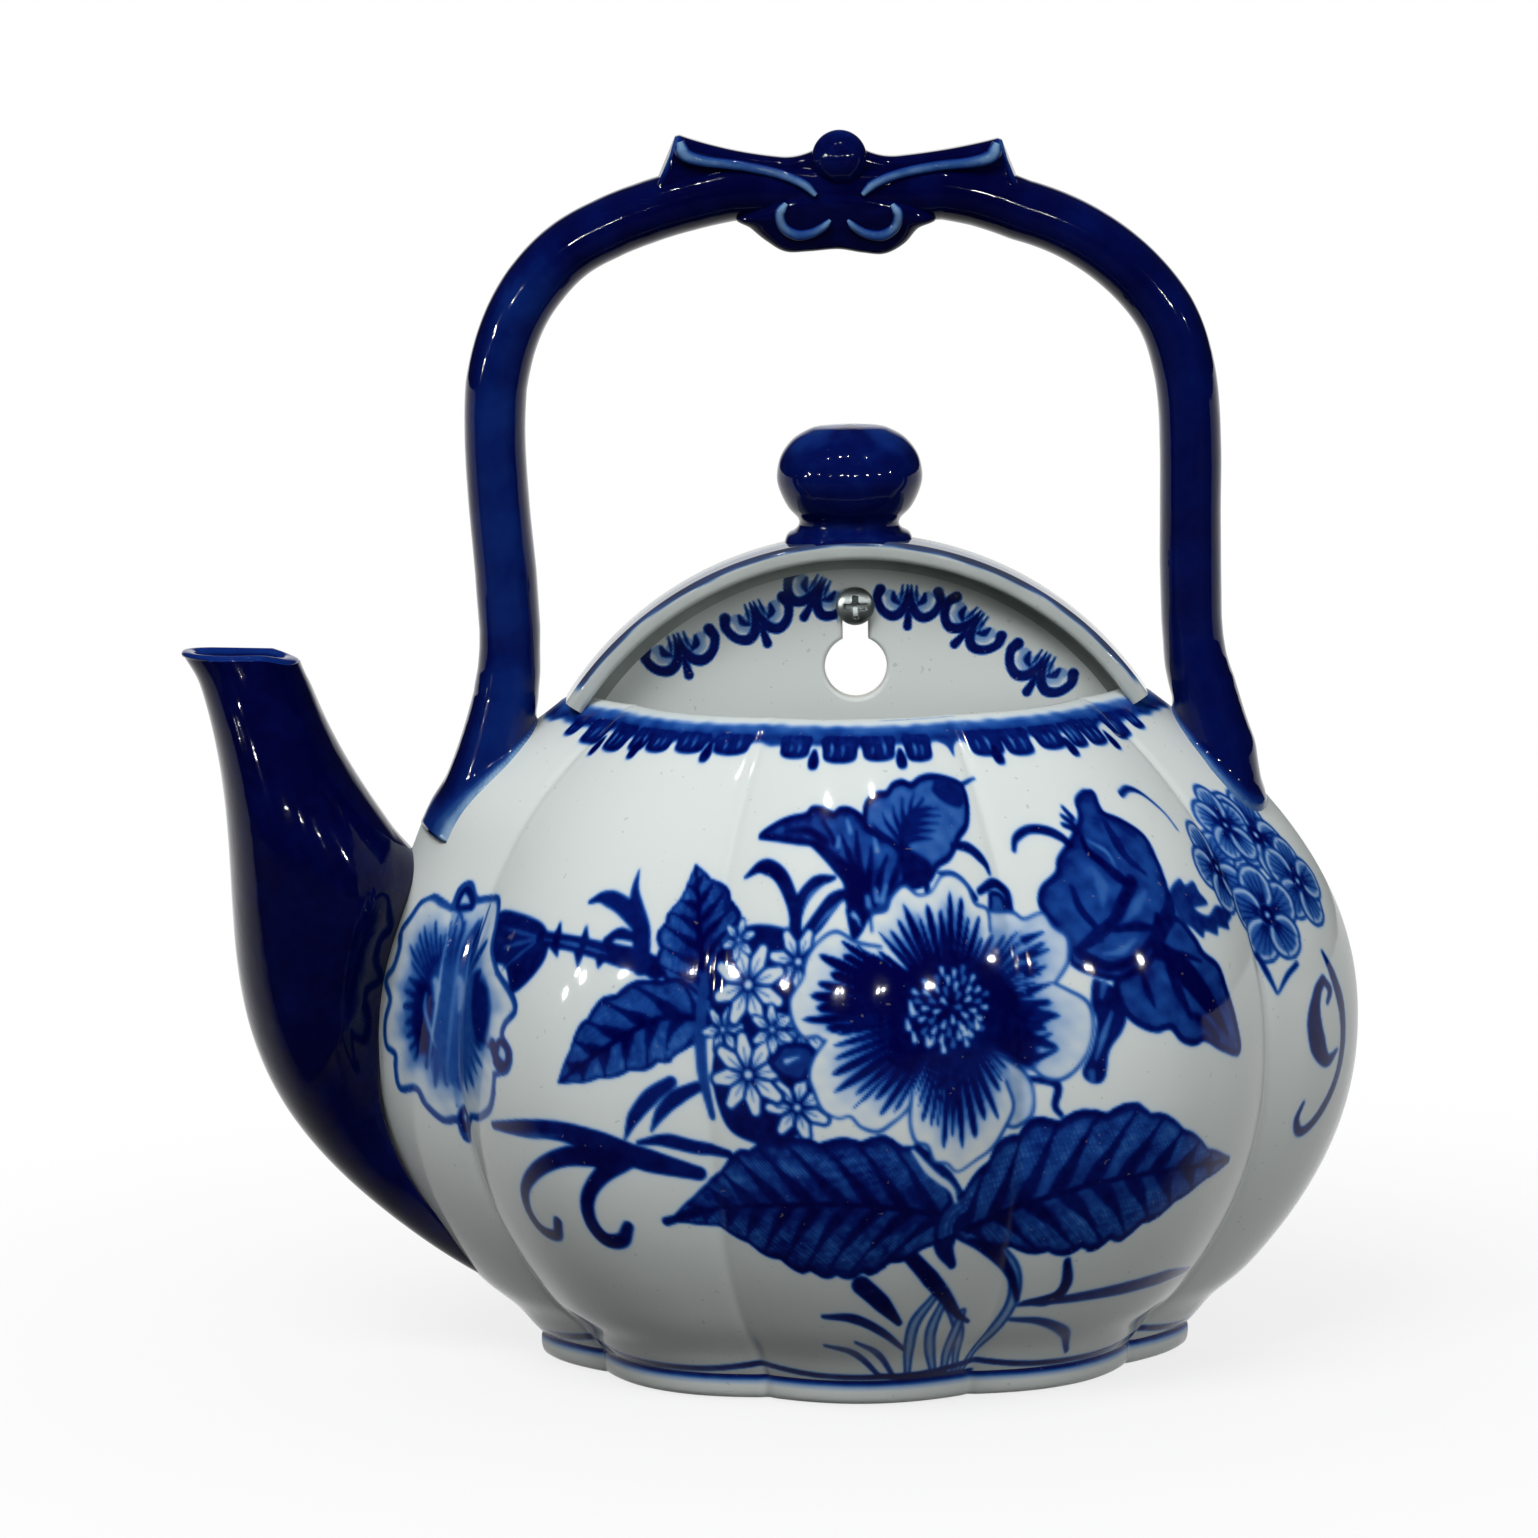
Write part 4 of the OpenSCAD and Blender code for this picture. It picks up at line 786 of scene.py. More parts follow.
# The large open flower in the middle.
HEART = (17.5, -72.4)
PEONY = [
    (petal, HEART, [(26.2, -53.2), (30.6, -54.4), (35.5, -55), (37.7, -56.3), (42.1, -55.3), (43.8, -58),
     (46.4, -60.2), (45.8, -64.4), (44.3, -66.7), (42, -69.1)], 9, 0.5, 0.84, 0.14, 0.8, 0.52),
    (petal, HEART, [(1.7, -56.6), (1.8, -53.5), (5, -52.7), (6.5, -50.1), (9.6, -48.2), (12.6, -50.1),
     (15.9, -49.6), (19, -46.9), (22.5, -47.1), (25.1, -49.3), (26.3, -52.6), (29.1, -54), (29, -58.1)], 12,
     0.5, 0.9),
    (petal, HEART, [(42, -69.1), (44.4, -70.4), (48.3, -73), (49.1, -77.4), (47.8, -82.6), (45.1, -86.5),
     (41.9, -88.5), (38.7, -88.1), (36.2, -86.1)], 10, 0.62, 0.8, 0.1, 0.84, 0.46),
    (petal, HEART, [(3.6, -59.6), (-1.6, -58.6), (-6, -56.6), (-9.6, -58.3), (-12.2, -61.6), (-13.2, -65.8),
     (-15.7, -69.7), (-15.2, -73.9), (-12.8, -77.2), (-9.6, -77.1), (-7.5, -79.8)], 15, 0.78, 0.92, 0.03,
     0.95),
    (petal, HEART, [(-8.1, -77.7), (-10.7, -81.4), (-11.6, -85.1), (-10.5, -88.5), (-8.8, -91.9),
     (-5.8, -93.5), (-3.3, -93.1), (-1.2, -95.3), (2.2, -96.3), (5.3, -94.5), (8.1, -92.1), (9.4, -89.4)],
     11, 0.56, 0.9),
    (petal, HEART, [(27.1, -82.1), (32.1, -84.6), (35.3, -88), (36.3, -91.8), (35.7, -95.9), (32.1, -97.8),
     (26.9, -95.9)], 5, 0.5, 0.7, 0.16, 0.86, 0.4),
    (petal, HEART, [(9.2, -88.7), (8.7, -94.4), (9.8, -98.6), (12.3, -99.8), (13.8, -103.2), (16.5, -103.8),
     (19, -105.8), (22.9, -103.8), (26.7, -101.5), (29.5, -97.8), (31.6, -93.3), (29.8, -88)], 13, 0.52,
     0.89),
    (patch, [(7.9, -65), (13.4, -62.3), (21.7, -62.3), (28.6, -65.2), (34.6, -71.8), (37.1, -79.3),
     (35.6, -86.1), (27.1, -82.1), (17.5, -83.1), (9.2, -80.7), (6.3, -74.5)], 0.93, 1.2),
    (hatch, [[(36.9, -60.4), (41.4, -59)], [(36.7, -63.7), (41.9, -62.4)], [(36.5, -67), (40.7, -65.6)],
     [(36.5, -70.4), (41.4, -69)], [(36.5, -73.7), (40.3, -72.3)], [(36.6, -77.1), (41.2, -75.7)],
     [(36.7, -80.5), (40.3, -79)], [(36.9, -83.9), (41.2, -82.5)]], [1.6, 0.3], 0.9, 0.25),
    (stamens, (18, -72.1), 8, 7),
    (hatch, [[(8.5, -74), (8.8, -75.6)], [(9.7, -76.5), (10, -78.1)], [(12.5, -77.5), (12.8, -79.1)],
     [(15.7, -79), (16, -80.6)], [(20.5, -76), (20.8, -77.6)], [(23.3, -75), (23.6, -76.6)], [(9.3, -70.4),
     (9.6, -72)]], [0.6, 1.2], 0.08, 0.25)]

# The leaves under the rim, as the lower corners of each, and the drops and points between them.
RIM_LEAVES = [
    ((-117.8, -24.7), (-113, -24.5)), ((-108, -25.8), (-98.1, -25.3)), ((-93.5, -26.1), (-84.1, -25.7)),
    ((-81.4, -25.3), (-75, -25)), ((-73.9, -25.1), (-65.4, -24.9)), ((-62.6, -24.8), (-53, -24.7)),
    ((-49, -24.9), (-37.9, -24.7)), ((-26, -24.9), (-16.8, -25.1)), ((-11.6, -25.6), (-1.3, -25.7)),
    ((1.2, -25.2), (10.8, -25.6)), ((15.1, -25.7), (23.1, -25.9)), ((37.4, -25.6), (47.8, -25.7)),
    ((49.1, -25.8), (57.8, -26)), ((60.9, -25.2), (70.4, -25.6)), ((73.3, -25.6), (79.5, -25.8)),
    ((81.1, -25.8), (89.2, -26)), ((96.2, -25.8), (105.1, -26.1)), ((109.5, -24.9), (114.1, -24.8))]
RIM_DROPS = [(-50.9, -25.1), (-14.7, -25.8), (12.9, -25.8), (44.8, -26.2), (71.4, -26.0), (91.5, -26.2),
             (-96.4, -26.1), (-77.5, -25.5)]
RIM_POINTS = [(-30.3, -22.6), (30.5, -25.3)]
RIM_DROP = [(-0.5, 2.6), (-1.7, 0.6), (-1.1, -0.9), (1.1, -0.9), (1.7, 0.6), (0.5, 2.6)]
RIM_LEAF_TOP = 2.6      # how far under the mouth the leaves start


def rim_leaf(c, left, right, k):
    """A short rounded leaf under the rim, dark at its edge and slit with pale lines."""
    top, low = MOUTH_Z - RIM_LEAF_TOP, (left[1] + right[1]) / 2
    x0, x1 = left[0] - 0.45, right[0] + 0.45
    wide, mid = x1 - x0, (x0 + x1) / 2
    ring = [(x0 + 0.1, top), (x0, mix(top, low, 0.55)), (x0 + 0.09 * wide, low + 0.5), (mid, low),
            (x1 - 0.09 * wide, low + 0.5), (x1, mix(top, low, 0.55)), (x1 - 0.1, top)]
    patch(c, ring, lambda u, v, gap: 0.83 + 0.11 * ramp(gap, -1.5, -0.2) + 0.06 * wander(u / 1.7, v / 3, k))
    for j, share in enumerate((0.3, 0.62)):
        x = mix(x0, x1, share + 0.06 * math.sin(2.1 * k + j))
        stroke(c, [(x - 0.2, top - 0.8), (x + 0.25, mix(top, low, 0.5)), (x, low + 1.4)], [0.4, 1.1, 0.3],
               0.50 if (j + k) % 2 else 0.34, 0.4)


def paint_rim(c):
    """The band under the lip: a pale wash, and curled leaves hanging from it."""
    for k, (left, right) in enumerate(RIM_LEAVES):
        rim_leaf(c, left, right, k)
    low = MOUTH_Z - 4.4 - 0.6 * wander(c.u / 9, c.u / 13, 1)
    high = MOUTH_Z - 1.0 + 0.2 * wander(c.u / 11, c.u / 7, 3)
    band = ramp(c.v, low - 0.6, low + 0.6) * ramp(c.v, high + 0.4, high - 0.4)
    wash = mix(0.82, 0.58, ramp(c.v, low, high)) + 0.12 * wander(c.u / 6, c.v / 2, 2)
    c.lay(slice(None), band, np.maximum(wash, 0.92 * c.ink))
    for x, v in RIM_DROPS:
        patch(c, [(x + s, v + t) for s, t in RIM_DROP], 0.95)
    for x, v in RIM_POINTS:
        top, low = MOUTH_Z - 3.6, mix(v, MOUTH_Z - 4, 0.6)
        patch(c, [(x - 4.5, top), (x - 1.3, low), (x, v), (x + 1.3, low), (x + 4.5, top)], 0.74, 0.4)


def paint_foot_line(c):
    """The line above the foot, which rises into each crease."""
    line = FOOT_TOP_Z + 0.9 + 1.9 * (1 - soft_crest(c.u / CHART_R)) ** 1.5
    tone = 0.88 + 0.08 * wander(c.u / 7, c.u / 17, 4)
    c.lay(slice(None), ramp(np.abs(c.v - line), 0.85, 0.45), tone)


def decorate_pot(u, v):
    """Cobalt at each point of the lobed wall."""
    c = Canvas(u, v)
    for rows in (BLOSSOMS, BUD, UPPER_LEAVES, LEFT_FLOWER, LEFT_LEAVES, DAISIES, LOWER_BLADES, ROOTS,
                 BIG_LEAVES, PEONY_FRAME, PEONY):
        for brush, *how in rows:
            brush(c, *how)
    paint_rim(c)
    paint_foot_line(c)
    return c.result()


# The scrolls inside the lid: middle (x, z), half width, half height, turn in degrees.
LID_FLEURS = [((-36.5, -9.0), 7.6, 5.9, 17), ((-20.3, -2.6), 7.0, 6.0, 20), ((-8.1, 2.5), 6.6, 6.0, -28),
              ((11.2, 0.5), 6.6, 5.6, -4), ((24.2, -4.6), 6.8, 5.8, -42), ((38.4, -14.1), 7.2, 6.0, -30)]


def decorate_lid(x, z):
    """Cobalt on the plate inside the lid's arch."""
    c = Canvas(x, z)
    for centre, wide, high, turn in LID_FLEURS:
        fleur(c, centre, wide, high, turn)
    return c.result()


# ---- pieces of the pot -------------------------------------------------------


def even_rows(z_from, z_to, step):
    """Heights from z_from to z_to that lie evenly along the pot's profile."""
    z = np.linspace(z_from, z_to, 800)
    run = run_of(np.hypot(np.diff(z), np.diff(pot_depth(z))))
    return np.interp(np.linspace(0, run[-1], int(run[-1] / step) + 1), run, z)


def skin_rows(z, inset, y_end, cols):
    """Rows of points round the pot, one for each height, from wall to wall."""
    z, inset, y_end = np.broadcast_arrays(np.atleast_1d(z), inset, y_end)
    across = np.linspace(-1, 1, cols)
    left, right = last_angle(z, inset, y_end, -1), last_angle(z, inset, y_end)
    a = np.where(across < 0, left[:, None], right[:, None]) * across
    return pot_point(z[:, None], a, inset[:, None]), a


def bleed(ink):
    """Lets cobalt run a little into the glaze round each stroke."""
    soft = ink
    for axis in (0, 1):
        soft = 0.5 * soft + 0.25 * np.roll(soft, 1, axis) + 0.25 * np.roll(soft, -1, axis)
    halo = soft
    for step in (1, 2, 3):
        for axis in (0, 1):
            halo = 0.4 * halo + 0.3 * np.roll(halo, step, axis) + 0.3 * np.roll(halo, -step, axis)
    return np.clip(mix(ink, soft, 0.7) + 0.07 * halo, 0, 1)


def pot_skin():
    """The lobed wall: painted outside, rounded lip, and glazed room inside."""
    cols = int(SKIN_SPAN / GRAIN)
    in_plate = -PLATE_T + 1         # the room's skin ends inside the back plate
    outer_z = even_rows(FOOT_TOP_Z, MOUTH_Z - ROUND, GRAIN)
    outer, a = skin_rows(outer_z, 0, 0, cols)
    ease = np.minimum(np.arange(cols), np.arange(cols)[::-1])
    outer[:, :, 0] *= 1 - 0.006 * np.clip(1 - ease / 3, 0, 1) ** 2      # eased edge at the wall
    turn = np.linspace(0, np.pi, 15)[1:]
    lip_in = WALL / 2 * (1 - np.cos(turn))
    lip_z = MOUTH_Z - ROUND + ROUND * np.sin(turn) ** 0.8
    lip, lip_a = skin_rows(lip_z, lip_in, mix(0, in_plate, lip_in / WALL), cols)
    inner_z = even_rows(FOOT_TOP_Z + 0.5, MOUTH_Z - ROUND, 2.5)[::-1]
    inner, _ = skin_rows(inner_z, WALL, in_plate, cols)
    floor_in = np.array([12, 24, 36, 46])
    floor, _ = skin_rows(np.full(4, FOOT_TOP_Z + 0.3), WALL + floor_in / 1.2, in_plate, cols)
    rows = np.concatenate([outer, lip, inner, floor])
    ink = np.zeros(rows.shape[:2])
    painted = len(outer) + PAINTED_LIP
    around = np.concatenate([a, lip_a])[:painted] * CHART_R
    heights = np.concatenate([outer_z, lip_z])[:painted, None] + 0 * around
    ink[:painted] = bleed(decorate_pot(around, heights))
    return grid_piece("pot_skin", rows, values={"ink": ink}, flip=True)


# The foot's section from the seam down and round under it: depth below the seam, and inset.
FOOT_SECTION = [(0, 0), (0.15, 0.25), (0.6, 0), (1.4, -0.3), (2.4, -0.6), (3.4, -0.8), (4.2, -0.8),
                (4.8, -0.6), (5.2, -0.2), (5.4, 0.4), (5.5, 1.3), (5.5, 3), (5.5, 4.6), (5.5, 5.4),
                (5.4, 5.9), (4.6, 6.3), (4, 7.5), (4, 9)]


def foot_skirt():
    """The foot: a low skirt with a rounded, dry ring that it stands on and a shallow hollow."""
    z, inset = np.array(FOOT_SECTION).T
    rows, _ = skin_rows(FOOT_TOP_Z - z, inset, np.where(inset > 3, -PLATE_T - 0.01 * inset, 0), 420)
    middle = np.array([0, -20, rows[-1, 0, 2]])
    under = middle + (rows[-1] - middle) * np.linspace(1, 0.03, 12)[1:, None, None]
    rows = np.concatenate([rows, under])
    ink, dry = np.zeros(rows.shape[:2]), np.zeros(rows.shape[:2])
    ink[:4] = [[0.86], [0.86], [0.86], [0.3]]       # the blue line at the seam
    dry[9:14] = 1                                   # the bare ring that it stands on
    return grid_piece("foot_skirt", rows, caps=(-1,), values={"ink": ink, "dry": dry})


def lid_profile():
    """Section of the lid's raised edge from the back round its front to the plate: (radius, y)."""
    inner_r, hard, soft, fillet_r = LID_R - LID_WALL, 1.6, 1.2, 3
    turns = [(math.sin(t), math.cos(t)) for t in np.linspace(0, np.pi / 2, 7)]
    back = [(LID_R - 0.8, 0), (LID_R - 0.3, -0.1), (LID_R, -0.6)]
    side = [(LID_R, y) for y in np.linspace(-2, LID_FRONT + 2.6, 6)]
    outer = [(LID_R - hard + hard * s, LID_FRONT + hard - hard * c) for s, c in turns]
    flat = [(LID_R - 2.1, LID_FRONT)]
    inner = [(inner_r + soft - soft * s, LID_FRONT + soft - soft * c) for s, c in turns]
    wall_in = [(inner_r, LID_FRONT + 2.6), (inner_r, -PLATE_T - 5)]
    fillet = [(inner_r - fillet_r + fillet_r * c, -PLATE_T - fillet_r + fillet_r * s) for s, c in turns]
    under = [(inner_r - 4, -PLATE_T + 0.1), (inner_r - 6, -PLATE_T + 0.3)]
    return np.array(back + side + outer[::-1] + flat + inner + wall_in + fillet + under)


def lid_arch():
    """The lid's raised edge, swept round its arch, with a blue line on its outer corner and painted shade: a
    light grey over all of it, deeper on its inner wall.
    """
    profile = lid_profile()
    end = math.acos((MOUTH_Z - 1.4 - LID_CENTRE_Z) / (LID_R - 2))
    a = np.linspace(-end, end, 420)
    radius, y = profile[:, 0][:, None], profile[:, 1][:, None]
    pts = cloud(radius * np.sin(a), y, LID_CENTRE_Z + radius * np.cos(a))
    start = LID_R - 0.85 + 0.35 * wander(7 * a, 3 * a, 2)
    behind = y - LID_FRONT
    fades = mix(ramp(behind, 11, 5), 1, ramp(behind, 3, 2))
    edge = ramp(radius, start - 0.3, start + 0.2) * fades
    uneven = 0.88 + 0.12 * wander(9 * a, 0.3 * y)
    fade = ramp(np.abs(a), end - 0.03, end - 0.09)
    # Painted shade: a grey over the whole arch, greyer on the inner wall and its fillet, where the raised
    # edge is in shade.
    painted_shade = ramp(radius, LID_R - LID_WALL + 0.3, LID_R - LID_WALL - 0.4) * ramp(behind, 0, 3) + 0 * a
    return grid_piece("lid_arch", pts, values={"ink": edge * uneven * fade, "painted_shade": 0.42 + 0.3 * painted_shade})


def slot_outline(grow, count=64):
    """The keyhole's outline about its eye, grown by some millimetres: (x, z), counterclockwise."""
    eye, half = EYE_D / 2 + grow, SLOT_W / 2 + grow
    gap = math.asin(half / eye)
    a = np.linspace(math.pi / 2 + gap, 2.5 * math.pi - gap, count)
    top = np.linspace(0, math.pi, count // 2)
    round_eye = np.stack([eye * np.cos(a), EYE_Z + eye * np.sin(a)], 1)
    side = np.array([[half, EYE_Z + mix(eye * math.cos(gap), SLOT_RISE, t)] for t in (0.3, 0.65)])
    round_top = np.stack([half * np.cos(top), EYE_Z + SLOT_RISE + half * np.sin(top)], 1)
    return np.concatenate([round_eye, side, round_top, side[::-1] * [-1, 1]])


def plate_outline(inset, y):
    """The back plate's outline at y, pulled in by some millimetres: the sliced pot, then the lid's arch."""
    z = np.linspace(FOOT_Z + 0.3, MOUTH_Z, 90)
    sides = [pot_point(z, side * last_angle(z, 0, y, side))[:, 0] - side * inset for side in (-1, 1)]
    crown = math.acos((MOUTH_Z - LID_CENTRE_Z) / (LID_R - inset))
    a = np.linspace(crown, -crown, 110)[1:-1]
    lid = np.stack([(LID_R - inset) * np.sin(a), LID_CENTRE_Z + (LID_R - inset) * np.cos(a)], 1)
    left, right = [np.stack([x, z], 1) for x in sides]
    return np.concatenate([right, lid, left[::-1]])


def within(x, z, loop):
    """Whether each point lies inside a closed outline."""
    inside = np.zeros(x.shape, bool)
    for (x0, z0), (x1, z1) in zip(loop, np.roll(loop, -1, 0)):
        if z0 != z1:
            inside ^= ((z0 > z) != (z1 > z)) & (x < x0 + (x1 - x0) * (z - z0) / (z1 - z0))
    return inside


def loop_gap(x, z, loop):
    """Distance from each point to a closed outline."""
    best = np.full(x.shape, 1e9)
    for a, b in zip(loop, np.roll(loop, -1, 0)):
        run = b - a
        t = np.clip(((x - a[0]) * run[0] + (z - a[1]) * run[1]) / max(run @ run, 1e-9), 0, 1)
        best = np.minimum(best, np.hypot(x - a[0] - t * run[0], z - a[1] - t * run[1]))
    return best


def sheet_points(loop, hole, step, above):
    """Points spread over a flat face, close together above one height and wider apart below."""
    low, high = loop.min(0), loop.max(0)
    spread = []
    for z0, z1, gap in ((above, high[1], step), (low[1], above, 9 * step)):
        x, z = np.meshgrid(np.arange(low[0], high[0], gap), np.arange(z0, z1, gap * 0.866))
        x[1::2] += gap / 2
        x, z = x.ravel(), z.ravel()
        keep = within(x, z, loop) & ~within(x, z, hole)
        x, z = x[keep], z[keep]
        keep = (loop_gap(x, z, loop) > 0.6 * gap) & (loop_gap(x, z, hole) > min(0.6 * gap, 0.6))
        spread.append(np.stack([x[keep], z[keep]], 1))
    return np.concatenate(spread)


def plate_face(name, y, inset, grow, step, above, values=None):
    """One flat face of the back plate with the keyhole left open."""
    loop, hole = plate_outline(inset, y), slot_outline(grow)
    free = sheet_points(loop, hole, step, above)
    points = np.concatenate([loop, hole, free])
    ring = [list(range(len(loop))), list(range(len(loop), len(loop) + len(hole)))]
    verts, _, tris, _, _, _ = delaunay_2d_cdt([Vector(p) for p in points], [], ring, 1, 1e-5)
    flat, tris = np.array([tuple(v) for v in verts]), np.array(tris)
    middle = flat[tris].mean(1)
    tris = tris[~within(middle[:, 0], middle[:, 1], hole)]
    pts = cloud(flat[:, 0], y, flat[:, 1])
    side = np.cross(pts[tris[:, 1]] - pts[tris[:, 0]], pts[tris[:, 2]] - pts[tris[:, 0]])[:, 1]
    wrong = side > 0 if y < -1 else side < 0
    tris[wrong] = tris[wrong][:, ::-1]
    corner = (flat[tris] - flat.min(0)) / np.ptp(flat, axis=0).max() * 0.99 + 0.005
    fields = {k: f(pts[:, 0], pts[:, 2]) for k, f in (values or {}).items()}
    return make_mesh(name, pts, np.zeros((0, 4)), tris, corner.reshape(-1, 2), fields)


# The keyhole's rim and wall from front to back: how far it opens, its y, and how bare it is of glaze.
KEYHOLE_SECTION = [(0.9, -5, 0), (0.5, -4.93, 0), (0.2, -4.7, 0), (0.05, -4.35, 0.3), (0, -3.9, 0.8),
                   (0, -2.5, 1), (0, -1.0, 1), (0.08, -0.5, 1), (0.3, -0.15, 1), (0.6, 0, 1)]


def keyhole_wall():
    """The rounded rim and the wall of the keyhole."""
    rows = np.array([np.insert(slot_outline(grow), 1, y, axis=1) for grow, y, _ in KEYHOLE_SECTION])
    dry = np.array(KEYHOLE_SECTION)[:, 2:] + np.zeros(rows.shape[1])
    return grid_piece("keyhole_wall", rows, wrap=True, values={"dry": dry}, flip=True)


def painted_shade_in_lid(x, z):
    """Painted shadow on the plate along the foot of the lid's raised edge, under its upper part."""
    off = LID_R - LID_WALL - np.hypot(x, z - LID_CENTRE_Z)
    return 0.62 * ramp(off, 7.5, 1.0) * ramp(z, MOUTH_Z + 2, MOUTH_Z + 22)


def back_piece():
    """The flat back of the pot with its lid-shaped top, keyhole and painted scrolls."""
    # The plate's front gets painted shadow under the upper part of the lid's arch.
    front = plate_face("plate_front", -PLATE_T, 0.8, 0.9, 0.42, MOUTH_Z - 4,
                       {"ink": decorate_lid, "painted_shade": painted_shade_in_lid})
    back = plate_face("plate_back", 0, 0.6, 0.6, 6, CROWN_Z, {"dry": lambda x, z: 0.0 * x})
    return join("back_wall", [front, back, keyhole_wall()])


# ---- sweeps ------------------------------------------------------------------

OVAL_POINTS, BACK_EDGE = 56, 2.5    # points round a sweep's front, and the height of its eased back edge


def half_oval(centre, side, wide, deep):
    """Rings of a half-oval section that is flat towards the wall and eased at its back edges."""
    a = np.linspace(np.pi / 2, -np.pi / 2, OVAL_POINTS)
    back, none = np.array([0, 0.12, 0.45]), np.zeros(3)
    ease = 1 - np.array([2, 0.9, 0.3]) * BACK_EDGE / HOOP_W
    out = np.concatenate([ease, power(np.sin(a), 0.85), -ease[::-1]])
    rise = np.concatenate([back, np.ones(OVAL_POINTS), back[::-1]]) * BACK_EDGE
    bulge = np.concatenate([none, power(np.cos(a), 0.85), none])
    wide, deep = np.asarray(wide)[:, None, None], np.asarray(deep)[:, None]
    pts = centre[:, None, :] + side[:, None, :] * (wide / 2) * out[None, :, None]
    pts[:, :, 1] -= rise + (deep - BACK_EDGE) * bulge
    return pts


def seat_on_pot(rows, sink=1.5, fillet=3.5, swell=1.3):
    """Spreads a sweep softly where it meets the pot and stops it just under the pot's skin.
    rows run from the free end towards the pot."""
    middle = rows.mean(1, keepdims=True)
    g = depth_in_pot(rows)
    out = unit((rows - middle) * [1, 1, 0.3])
    rows = rows + out * (swell * np.clip(1 + g / fillet, 0, 1) ** 2)[..., None]
    g = depth_in_pot(rows)
    for k in range(rows.shape[1]):
        under = np.flatnonzero(g[:, k] > sink)
        if len(under) and under[0] > 0:
            i = under[0]
            t = (sink - g[i - 1, k]) / (g[i, k] - g[i - 1, k])
            rows[i:, k] = mix(rows[i - 1, k], rows[i, k], t)
    return rows


def leg_x(z):
    """How far each leg of the hoop stands from the middle; the legs spread onto the shoulders."""
    t = np.clip((MOUTH_Z + 12 - z) / 34, 0, 2)
    return HOOP_HALF + HOOP_SPREAD * t * t


# How far the hand-bent hoop stands off its drawn line: (height, across) for each leg, and
# (across, up) along its top.
LEFT_LEG = [(-48, -3.6), (-32, -2.0), (-22, -0.9), (-13, 0.2), (-4, 0.6), (8, 0.2), (21, -0.65),
            (34, -1.3), (47, -1.9), (55, -1.7), (70, -0.9)]
RIGHT_LEG = [(-48, -3.5), (-40, 0.0), (-32, 1.2), (-22, 0.2), (-13, -0.9), (-4, -1.3), (8, -1.25),
             (21, -1.0), (34, -0.5), (47, 0.2), (60, 0.5), (75, 0)]
HOOP_CREST = [(-56, -1.1), (-50, -1.3), (-42, -1.0), (-33, -0.2), (-24, 0.9), (-12, 0.9), (0, 0.5),
              (14, 0.7), (20, 1.5), (27, 0.9), (31, 0.3), (36, -0.5), (50, -0.8)]


def hand_bent(line):
    """The line as the hand left it."""
    left, right, crest = np.array(LEFT_LEG), np.array(RIGHT_LEG), np.array(HOOP_CREST)
    x, z = line[:, 0], line[:, 2]
    across = np.where(x < 0, np.interp(z, *left.T), np.interp(z, *right.T))
    high = ramp(z, HOOP_TOP_Z - 32, HOOP_TOP_Z - 12)
    bent = line.copy()
    bent[:, 0] += across * ramp(z, HOOP_TOP_Z, HOOP_TOP_Z - 12) - 0.6 * high
    bent[:, 2] += np.interp(x, *crest.T) * high
    return bent


def hoop_line():
    """The middle line of the handle hoop from the left shoulder to the right, evenly spaced."""
    z = np.linspace(MOUTH_Z - 30, ARCH_Z, 90)
    left = cloud(-leg_x(z), 0, z)
    a = np.linspace(np.pi, 0, 402)[1:-1]
    top = cloud(HOOP_HALF * power(np.cos(a), 2 / HOOP_SQUARE), 0,
                ARCH_Z + (HOOP_TOP_Z - ARCH_Z) * np.sin(a) ** (2 / HOOP_SQUARE))
    line = np.concatenate([left, top, (left * [-1, 1, 1])[::-1]])
    h = np.maximum(line[:, 2] - MOUTH_Z, 0) / HOOP_H
    skewed = line.copy()
    skewed[:, 0] -= HOOP_LEAN * np.sqrt(h)
    skewed[:, 2] -= HOOP_SKEW * h * line[:, 0] / HOOP_HALF
    skewed = hand_bent(skewed)
    run = run_of(np.linalg.norm(np.diff(skewed, axis=0), axis=1))
    even = np.linspace(0, run[-1], 560)
    return np.stack([np.interp(even, run, skewed[:, k]) for k in range(3)], 1)


def line_sides(line):
    """Directions square to a line and parallel to the wall."""
    run = unit(np.gradient(line, axis=0))
    return cloud(run[:, 2], 0, -run[:, 0])


def handle_hoop():
    """The overhead handle, its feet spread softly onto the shoulders, with sheen painted down the middle of
    its legs.
    """
    line = hoop_line()
    swell = 1 + 0.25 * np.clip((MOUTH_Z + 10 - line[:, 2]) / 40, 0, 1)
    hand = 1 + 0.012 * wander(line[:, 0] / 23, line[:, 2] / 19)
    rows = half_oval(line, line_sides(line), HOOP_W * swell * hand, HOOP_DEPTH * swell)
    half = len(rows) // 2
    rows = np.concatenate([seat_on_pot(rows[:half][::-1])[::-1], seat_on_pot(rows[half:])])
    across = np.abs(np.linspace(-1, 1, rows.shape[1]))[None, :]
    leg = ramp(np.abs(line[:, 0]), 55, 68)[:, None]
    seat = ramp(depth_in_pot(rows), -3.2, -0.6)
    # Painted sheen: the middle of each leg is paler, more on the left leg, where the light falls.
    painted_sheen_side = mix(0.20, 0.05, ramp(line[:, 0], -50, 40))[:, None]
    thin = 0.10 + painted_sheen_side * leg * ramp(across, 0.75, 0.2) + 0.55 * seat ** 2
    by_bow = 0.1 * ramp(np.abs(line[:, 0]), 45, 20)[:, None]
    thin += 0.06 * wander(line[:, 2] / 9, line[:, 0] / 9)[:, None] - by_bow
    return cobalt_skin("handle_hoop_glazed", rows, thin)


